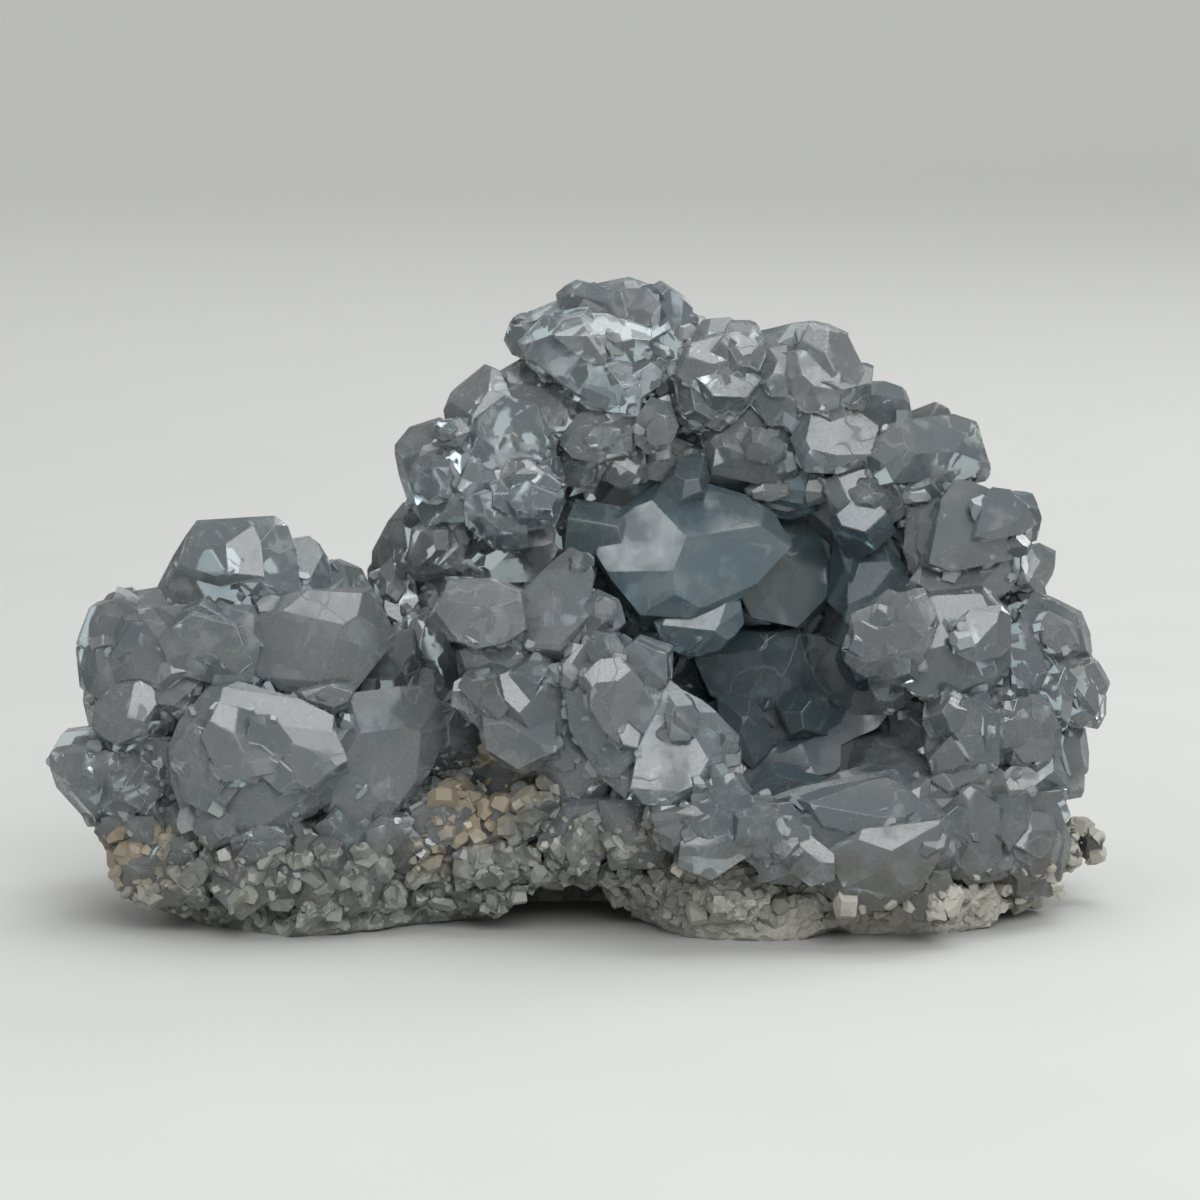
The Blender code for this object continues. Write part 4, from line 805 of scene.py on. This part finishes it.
def hollow_crystals(masters):
    """The hollow's crust of darker crystals: partly their own deeper blue, partly painted shade that darkens them
    towards the hollow's back.
    """
    chance = random.Random(5)
    deselect()
    body = crust_lump(POCKET, POCKET_WALL - 0.4)
    body.name = "hollow_crystals"
    combine(body, [crust_lump(POCKET, -0.4), crust_lump(Lump(14, -36, 32, 42, 33, 42))], "DIFFERENCE")
    made = [outlined_crystal(row, chance) for row in POCKET_CRYSTALS]
    for row in POCKET_CRYSTALS:
        made += satellites(row, masters, chance)
    combine(body, made + lining_crystals(masters), "UNION")
    # Painted shade: each face is darkened by how far back in the hollow it lies.
    for entry, face in zip(body.data.attributes["growth"].data, body.data.polygons):
        recess_shade = (face.center.y - HOLLOW_SHADE_FRONT) / (HOLLOW_SHADE_BACK - HOLLOW_SHADE_FRONT)
        entry.vector = (entry.vector[0], entry.vector[1], min(1.0, max(0.0, recess_shade)))
    return body


def stone_rind():
    """The rind, with a crumbly skin over its main shape."""
    obj = bpy.data.objects.new("rind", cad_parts["matrix"].data.copy())
    bpy.context.scene.collection.objects.link(obj)
    pick(obj)
    bpy.ops.object.mode_set(mode="EDIT")
    bpy.ops.mesh.select_all(action="SELECT")
    bpy.ops.mesh.remove_doubles(threshold=1e-6)
    bpy.ops.object.mode_set(mode="OBJECT")
    remesh = obj.modifiers.new("even_mesh", "REMESH")
    remesh.mode = "VOXEL"
    remesh.voxel_size = RIND_VOXEL
    apply_modifiers(obj)
    outwards = [vert.normal.copy() for vert in obj.data.vertices]
    for vert, outward in zip(obj.data.vertices, outwards):
        point = vert.co / MM
        lumps = 0.9 * noise.noise(point * 0.35)
        crumbs = 0.7 * noise.cell(point * 0.8 + noise.noise_vector(point * 0.5) * 0.6)
        grit = 0.25 * noise.noise(point * 2.3)
        keep = min(1.0, max(0.0, vert.co.z / (1.5 * MM)))
        vert.co += outward * (lumps + crumbs + grit - 0.4) * keep * MM
    return obj


def grain(masters, point, outward, size, chance, depth):
    """A blunt little crystal half sunk in the surface."""
    lean = Vector([chance.uniform(-0.9, 0.9) for _ in range(3)])
    form = chance.choice(masters)
    return small_crystal(form, point - outward * 0.2 * size, (outward + lean).normalized(), chance.uniform(0, math.pi),
                         size * chance.uniform(0.8, 1.3), 0.62 * size, 0.5 * size, chance.random(), depth)


def band_height(x):
    """How high the sugary band reaches in front at that place along the stone."""
    for (x0, z0), (x1, z1) in zip(GRAIN_BAND, GRAIN_BAND[1:]):
        if x <= x1:
            return z0 + (z1 - z0) * max(0.0, x - x0) / (x1 - x0)
    return GRAIN_BAND[-1][1]


def rind_grains(masters, rind, crystals):
    """The sugary grains of the rind's lower edge, below the band's height at each place along the stone."""
    chance = random.Random(21)
    surface = Surface([rind, crystals])
    made = []
    for point, outward in surface.places(GRAIN_TRIES, chance):
        low = point.z < band_height(point.x) * (1.0 + 0.35 * noise.noise(point * 160))
        if point.z < 0.0016 or outward.z < -0.75 or not low:
            continue
        size = MM * chance.choice((0.7, 0.9, 1.2, 1.5, 2.1))
        if point.z - 0.9 * size > 0:
            made.append(grain(masters, point, outward, size, chance, 0.0))
    return joined("rind_grains", that_fit(made))


def crevice_druse(masters, crystals):
    """The fine crystals that fill the crevices between the large ones."""
    chance = random.Random(33)
    surface = Surface([crystals])
    made = []
    for point, outward in surface.places(DRUSE_TRIES, chance):
        low = max(0.0, 1.0 - point.z / 0.016)
        if surface.shelter(point, outward, chance) < chance.uniform(0.35, 0.8) * (1.0 - 0.6 * low):
            continue
        size = MM * chance.choice((0.7, 0.9, 1.1, 1.4, 1.9))
        made.append(grain(masters, point, outward, size, chance, 0.0))
    return joined("crevice_druse", that_fit(made))


def inner_veils(rows):
    """The cloudy sheets and hearts inside the crystals: thin wavy lenses, each wholly within its crystal."""
    chance = random.Random(57)
    deselect()
    bpy.ops.mesh.primitive_ico_sphere_add(subdivisions=2, radius=1.0)
    lens = bpy.context.object
    made = []
    for row in rows:
        ahead = facing(row.turn, row.tilt)
        centre = centre_of(row)
        reach = min((spot - centre).length for spot in girdle_of(row, centre, ahead))
        for _ in range(1 if reach < 3 else 3):
            radius = reach * chance.uniform(0.3, 0.7)
            lean = Vector([chance.uniform(-1, 1) for _ in range(3)]).normalized()
            turn = lean.to_track_quat("Z", "X").to_matrix()
            off = Vector([chance.uniform(-0.25, 0.25) * reach for _ in range(3)])
            middle = centre + off - ahead * (radius * 0.4 + chance.uniform(0.0, 0.25) * row.body)
            data = lens.data.copy()
            for vert in data.vertices:
                wave = 0.15 * noise.noise(vert.co * 2.2 + off)
                frayed = 0.65 + 0.6 * noise.noise(vert.co * 1.9 + off)
                flat = Vector((vert.co.x * frayed, vert.co.y * frayed * 0.6, vert.co.z * 0.02 + wave))
                vert.co = placed(middle + turn @ (flat * radius))
            veil = bpy.data.objects.new("veil", data)
            bpy.context.scene.collection.objects.link(veil)
            made.append(veil)
    bpy.data.objects.remove(lens)
    return joined("inner_veils", made)


# Finishes

def add_node(tree, kind, **settings):
    """A node with its settings: whole-node settings by name, and inputs by their label after in_."""
    made = tree.nodes.new(kind)
    for name, value in settings.items():
        if name.startswith("in_"):
            made.inputs[name[3:].replace("_", " ")].default_value = value
        else:
            setattr(made, name, value)
    return made


def noise_at(tree, place, scale, detail=3.0):
    made = add_node(tree, "ShaderNodeTexNoise", in_Scale=scale, in_Detail=detail)
    tree.links.new(place, made.inputs["Vector"])
    return made.outputs["Fac"]


def step_between(tree, value, low, high, to_low=0.0, to_high=1.0):
    made = tree.nodes.new("ShaderNodeMapRange")
    made.interpolation_type = "SMOOTHSTEP"
    for name, number in (("From Min", low), ("From Max", high), ("To Min", to_low), ("To Max", to_high)):
        made.inputs[name].default_value = number
    tree.links.new(value, made.inputs["Value"])
    return made.outputs["Result"]


def calculate(tree, operation, a, b=0.0):
    made = tree.nodes.new("ShaderNodeMath")
    made.operation = operation
    for socket, value in zip(made.inputs, (a, b)):
        if isinstance(value, (int, float)):
            socket.default_value = value
        else:
            tree.links.new(value, socket)
    return made.outputs[0]


def blended(tree, share, first, second):
    """A colour between two, each a colour or a link."""
    made = tree.nodes.new("ShaderNodeMix")
    made.data_type = "RGBA"
    tree.links.new(share, next(item for item in made.inputs if item.identifier == "Factor_Float"))
    for name, value in (("A_Color", first), ("B_Color", second)):
        socket = next(item for item in made.inputs if item.identifier == name)
        if isinstance(value, tuple):
            socket.default_value = (*value, 1.0)
        else:
            tree.links.new(value, socket)
    return next(item for item in made.outputs if item.identifier == "Result_Color")


def crystal_skin_group():
    """What a natural crystal's faces show: cloud, white fractures, frosted patches and edges, and growth marks; and
    painted shade, a darker colour laid on faces by their stored depth, for recesses and the hollow's back.
    """
    group = bpy.data.node_groups.new("crystal_skin", "ShaderNodeTree")
    for name, kind, value in (("Clear Colour", "NodeSocketColor", (0.5, 0.6, 0.7, 1)),
                              ("Milky Colour", "NodeSocketColor", (0.7, 0.75, 0.8, 1)),
                              ("Frost Colour", "NodeSocketColor", (0.9, 0.9, 0.9, 1)),
                              ("Fractures", "NodeSocketFloat", 1.0), ("Frost", "NodeSocketFloat", 1.0),
                              ("Deep Colour", "NodeSocketColor", (0.2, 0.3, 0.35, 1)),
                              ("Root Colour", "NodeSocketColor", (0.6, 0.6, 0.55, 1)),
                              ("Roughness", "NodeSocketFloat", 0.1)):
        group.interface.new_socket(name, in_out="INPUT", socket_type=kind).default_value = value
    for name, kind in (("Colour", "NodeSocketColor"), ("Roughness", "NodeSocketFloat")):
        group.interface.new_socket(name, in_out="OUTPUT", socket_type=kind)
    inputs = group.nodes.new("NodeGroupInput").outputs
    place = group.nodes.new("ShaderNodeTexCoord").outputs["Object"]
    growth = add_node(group, "ShaderNodeAttribute", attribute_name="growth")
    split = group.nodes.new("ShaderNodeSeparateXYZ")
    group.links.new(growth.outputs["Vector"], split.inputs[0])
    shade, edge, recess_shade = split.outputs[0], split.outputs[1], split.outputs[2]

    cloud = noise_at(group, place, 110.0, 2.0)
    tinted = calculate(group, "ADD", cloud, calculate(group, "MULTIPLY", calculate(group, "SUBTRACT", shade, 0.5), 0.35))
    milky = step_between(group, tinted, 0.36, 0.66)
    seam = calculate(group, "ABSOLUTE", calculate(group, "SUBTRACT", noise_at(group, place, 130.0, 2.0), 0.5))
    fracture = calculate(group, "MULTIPLY", step_between(group, seam, 0.0, 0.014, 1.0, 0.0),
                         step_between(group, cloud, 0.48, 0.58))
    fracture = calculate(group, "MULTIPLY", fracture, inputs["Fractures"])
    patches = noise_at(group, place, 280.0, 2.5)
    frost = calculate(group, "MULTIPLY", step_between(group, patches, 0.55, 0.72), inputs["Frost"])
    worn = calculate(group, "MULTIPLY", edge, step_between(group, patches, 0.42, 0.62, 0.1, 0.6))
    frost = calculate(group, "MAXIMUM", frost, worn)
    white = calculate(group, "MINIMUM", calculate(group, "MAXIMUM", frost, fracture), 1.0)
    colour = blended(group, milky, inputs["Clear Colour"], inputs["Milky Colour"])
    # Painted shade: faces in recesses and at the hollow's back are blended towards the painted shade colour.
    colour = blended(group, recess_shade, colour, inputs["Deep Colour"])
    split_place = group.nodes.new("ShaderNodeSeparateXYZ")
    group.links.new(place, split_place.inputs[0])
    near_root = calculate(group, "ADD", split_place.outputs[2],
                          calculate(group, "MULTIPLY", calculate(group, "SUBTRACT", patches, 0.5), 0.02))
    rooted = step_between(group, near_root, 0.004, 0.012, 0.85, 0.0)
    colour = blended(group, rooted, colour, inputs["Root Colour"])
    colour = blended(group, calculate(group, "MULTIPLY", white, 0.75), colour, inputs["Frost Colour"])
    rough = calculate(group, "ADD", inputs["Roughness"], calculate(group, "MULTIPLY", white, 0.40))
    rough = calculate(group, "ADD", rough, step_between(group, patches, 0.35, 0.6, 0.0, 0.08))

    outputs = group.nodes.new("NodeGroupOutput").inputs
    group.links.new(colour, outputs["Colour"])
    group.links.new(rough, outputs["Roughness"])
    return group


def crystal_finish(name, group, clear, milky, shaded_blue, fractures, frost, rough, clearness, depth_colour, density):
    made = bpy.data.materials.new(name)
    made.use_nodes = True
    tree = made.node_tree
    skin = tree.nodes.new("ShaderNodeGroup")
    skin.node_tree = group
    for label, value in (("Clear Colour", (*clear, 1)), ("Milky Colour", (*milky, 1)),
                         ("Frost Colour", (0.93, 0.95, 0.96, 1)), ("Deep Colour", (*shaded_blue, 1)),
                         ("Root Colour", (0.50, 0.49, 0.44, 1)), ("Fractures", fractures), ("Frost", frost),
                         ("Roughness", rough)):
        skin.inputs[label].default_value = value
    shader = tree.nodes["Principled BSDF"]
    shader.distribution = "GGX"
    shader.inputs["Transmission Weight"].default_value = clearness
    shader.inputs["IOR"].default_value = 1.62
    tree.links.new(skin.outputs["Colour"], shader.inputs["Base Color"])
    tree.links.new(skin.outputs["Roughness"], shader.inputs["Roughness"])
    if density:
        depth = add_node(tree, "ShaderNodeVolumeAbsorption", in_Color=(*depth_colour, 1), in_Density=density)
        tree.links.new(depth.outputs[0], tree.nodes["Material Output"].inputs["Volume"])
    return made


def veil_finish():
    """White feathery cloud."""
    made = bpy.data.materials.new("inner_veil")
    made.use_nodes = True
    tree = made.node_tree
    place = tree.nodes.new("ShaderNodeTexCoord").outputs["Object"]
    shader = tree.nodes["Principled BSDF"]
    colour = blended(tree, noise_at(tree, place, 200.0, 2.0), (0.70, 0.77, 0.82), (0.90, 0.93, 0.95))
    tree.links.new(colour, shader.inputs["Base Color"])
    tree.links.new(step_between(tree, noise_at(tree, place, 700.0, 2.0), 0.3, 0.7, 0.3, 0.6),
                   shader.inputs["Roughness"])
    shader.inputs["IOR"].default_value = 1.6
    return made


def distance_mask(tree, place, point, near, far):
    """1 at the point, falling to 0 at far."""
    away = add_node(tree, "ShaderNodeVectorMath", operation="DISTANCE")
    tree.links.new(place, away.inputs[0])
    away.inputs[1].default_value = point
    return step_between(tree, away.outputs["Value"], near, far, 1.0, 0.0)


def rind_finish(name, grains):
    """Grey-beige granular stone with tan and brown stains. Grains of it are clearer than its mass."""
    made = bpy.data.materials.new(name)
    made.use_nodes = True
    tree = made.node_tree
    place = tree.nodes.new("ShaderNodeTexCoord").outputs["Object"]
    cells = add_node(tree, "ShaderNodeTexVoronoi", in_Scale=700.0)
    tree.links.new(place, cells.inputs["Vector"])
    tone = tree.nodes.new("ShaderNodeSeparateColor")
    tree.links.new(cells.outputs["Color"], tone.inputs[0])
    stain = noise_at(tree, place, 95.0, 4.0)
    for point, far in RIND_PATCHES:
        stain = calculate(tree, "ADD", stain, calculate(tree, "MULTIPLY", distance_mask(tree, place, point, 0.0, far), 0.4))
    colour = blended(tree, tone.outputs[0], (0.16, 0.17, 0.15), (0.40, 0.41, 0.37))
    along = tree.nodes.new("ShaderNodeSeparateXYZ")
    tree.links.new(place, along.inputs[0])
    colour = blended(tree, step_between(tree, along.outputs[0], -0.010, 0.040, 0.0, 0.7), colour, (0.62, 0.61, 0.53))
    colour = blended(tree, step_between(tree, stain, 0.54, 0.85, 0.0, 0.85), colour, (0.42, 0.35, 0.24))
    brown = step_between(tree, noise_at(tree, place, 260.0, 3.0), 0.62, 0.76, 0.0, 0.6)
    colour = blended(tree, brown, colour, (0.17, 0.12, 0.08))
    shader = tree.nodes["Principled BSDF"]
    tree.links.new(colour, shader.inputs["Base Color"])
    rough = step_between(tree, tone.outputs[1], 0.0, 1.0, 0.25, 0.6) if grains else step_between(
        tree, stain, 0.3, 0.7, 0.6, 0.9)
    tree.links.new(rough, shader.inputs["Roughness"])
    shader.inputs["IOR"].default_value = 1.6
    shader.distribution = "GGX"
    shader.inputs["Transmission Weight"].default_value = 0.25 if grains else 0.0
    if not grains:
        fine = calculate(tree, "ADD", noise_at(tree, place, 1400.0, 4.0), cells.outputs["Distance"])
        relief = add_node(tree, "ShaderNodeBump", in_Strength=0.8, in_Distance=0.0004)
        tree.links.new(fine, relief.inputs["Height"])
        tree.links.new(relief.outputs["Normal"], shader.inputs["Normal"])
    return made


RIND_PATCHES = (
    ((-0.0431, -0.0148, 0.0095), 0.009),
    ((-0.0090, -0.0150, 0.0148), 0.009),
)


def clothe(obj, finish, slot, *nodes):
    obj.data.materials.clear()
    obj.data.materials.append(finish)
    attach(obj, "root")
    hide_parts(*nodes)


def build_pieces():
    masters = master_crystals(0.03)
    fine_masters = master_crystals(0.0)
    crystals = outer_crystals(masters)
    hollow = hollow_crystals(masters)
    rind = stone_rind()
    grains = rind_grains(fine_masters, rind, crystals)
    druse = crevice_druse(fine_masters, crystals)
    veils = inner_veils(outer_rows() + POCKET_CRYSTALS)
    for master in masters + fine_masters:
        bpy.data.objects.remove(master)
    skin = crystal_skin_group()
    # The fifth colour of each finish is its painted shade colour. The hollow's finish is a darker, bluer copy of the
    # pale one: partly the hollow crystals' own deeper blue, partly painted shade.
    pale = crystal_finish("pale_blue_crystal", skin, (0.63, 0.75, 0.80), (0.84, 0.90, 0.92), (0.30, 0.42, 0.46),
                          1.0, 0.9, 0.05, 0.85, (0.46, 0.66, 0.72), 10.0)
    shaded_blue = crystal_finish("deep_blue_crystal", skin, (0.46, 0.66, 0.75), (0.62, 0.78, 0.84), (0.06, 0.14, 0.16),
                          0.6, 0.4, 0.12, 0.82, (0.36, 0.58, 0.66), 16.0)
    frosty = crystal_finish("frosty_druse", skin, (0.68, 0.79, 0.82), (0.86, 0.91, 0.92), (0.4, 0.52, 0.56),
                            0.3, 0.8, 0.06, 0.68, (0.56, 0.73, 0.78), 0.0)
    clothe(crystals, pale, "pale_blue_crystal", "crystals")
    clothe(hollow, shaded_blue, "deep_blue_crystal", "pocket_crystals")
    clothe(rind, rind_finish("stone_rind", False), "stone_rind", "matrix")
    clothe(grains, rind_finish("rind_grains", True), "stone_rind", "matrix")
    clothe(druse, frosty, "pale_blue_crystal", "crystals")
    clothe(veils, veil_finish(), "pale_blue_crystal", "crystals")


# The table, the light and the camera

def floor_finish():
    made = bpy.data.materials.new("pale_floor")
    made.use_nodes = True
    tree = made.node_tree
    place = tree.nodes.new("ShaderNodeTexCoord").outputs["Object"]
    shader = tree.nodes["Principled BSDF"]
    colour = blended(tree, noise_at(tree, place, 40.0, 0.0), (0.60, 0.61, 0.595), (0.63, 0.64, 0.625))
    split = tree.nodes.new("ShaderNodeSeparateXYZ")
    tree.links.new(place, split.inputs[0])
    colour = blended(tree, step_between(tree, split.outputs[1], 0.1, 0.8), colour, (0.86, 0.87, 0.84))
    tree.links.new(colour, shader.inputs["Base Color"])
    shader.inputs["Roughness"].default_value = 0.7
    return made


def pale_floor():
    deselect()
    bpy.ops.mesh.primitive_plane_add(size=4.0, location=(0, 0, 0))
    floor = bpy.context.object
    floor.name = "pale_floor"
    bpy.ops.object.mode_set(mode="EDIT")
    bpy.ops.mesh.select_all(action="DESELECT")
    bpy.ops.object.mode_set(mode="OBJECT")
    for edge in floor.data.edges:
        edge.select = all(floor.data.vertices[i].co.y > 1.9 for i in edge.vertices)
    bpy.ops.object.mode_set(mode="EDIT")
    bpy.ops.mesh.select_mode(type="EDGE")
    bpy.ops.mesh.extrude_region_move(TRANSFORM_OT_translate={"value": (0, 0, 1.6)})
    bpy.ops.object.mode_set(mode="OBJECT")
    curve = floor.modifiers.new("sweep", "BEVEL")
    curve.width = 0.9
    curve.segments = 24
    curve.limit_method = "ANGLE"
    apply_modifiers(floor)
    bpy.ops.object.shade_smooth()
    floor.data.materials.append(floor_finish())


def area_light(name, place, toward, width, height, power, colour=(1, 1, 1)):
    deselect()
    bpy.ops.object.light_add(type="AREA", location=place)
    light = bpy.context.object
    light.name = name
    light.data.shape = "RECTANGLE"
    light.data.size = width
    light.data.size_y = height
    light.data.energy = power
    light.data.color = colour
    light.rotation_euler = (Vector(toward) - Vector(place)).to_track_quat("-Z", "Y").to_euler()


def studio_light():
    world = bpy.data.worlds.new("soft_room")
    bpy.context.scene.world = world
    world.use_nodes = True
    tree = world.node_tree
    way = tree.nodes.new("ShaderNodeTexCoord").outputs["Generated"]
    split = tree.nodes.new("ShaderNodeSeparateXYZ")
    tree.links.new(way, split.inputs[0])
    toward = calculate(tree, "SUBTRACT", split.outputs[2], calculate(tree, "MULTIPLY", split.outputs[1], 0.45))
    up = step_between(tree, toward, -0.3, 1.0)
    colour = blended(tree, up, (0.16, 0.16, 0.17), (1.0, 1.0, 1.0))
    tree.links.new(colour, tree.nodes["Background"].inputs["Color"])
    tree.nodes["Background"].inputs["Strength"].default_value = 0.62
    area_light("overhead", (0.12, 0.05, 0.62), (0, 0, 0.02), 0.55, 0.40, 1.8)
    area_light("front_soft", (0.20, -0.62, 0.48), (0, 0, 0.03), 0.55, 0.35, 2.8)
    area_light("front_left", (-0.45, -0.45, 0.50), (0, 0, 0.03), 0.15, 0.15, 0.35)
    area_light("back_right", (0.50, 0.35, 0.35), (0, 0, 0.03), 0.20, 0.20, 0.8)
    bpy.context.scene.view_settings.view_transform = "Standard"


def camera():
    eye = on_card(0.0, 0.0, 0.0)[0]
    place = placed(eye)
    ahead = Vector((0, math.cos(EYE_RISE), -math.sin(EYE_RISE)))
    deselect()
    bpy.ops.object.camera_add(location=place)
    made = bpy.context.object
    made.name = "front_camera"
    made.rotation_euler = ahead.to_track_quat("-Z", "Y").to_euler()
    made.data.angle = 2 * math.atan(VIEW_WIDTH * MM / 2 / (EYE_DISTANCE * MM))
    made.data.clip_start = 0.01
    bpy.context.scene.camera = made


bpy.context.scene.cycles.max_bounces = 4
bpy.context.scene.cycles.diffuse_bounces = 1
bpy.context.scene.cycles.glossy_bounces = 3
bpy.context.scene.cycles.transmission_bounces = 3
bpy.context.scene.cycles.caustics_reflective = False
bpy.context.scene.cycles.caustics_refractive = False
build_pieces()
pale_floor()
studio_light()
camera()
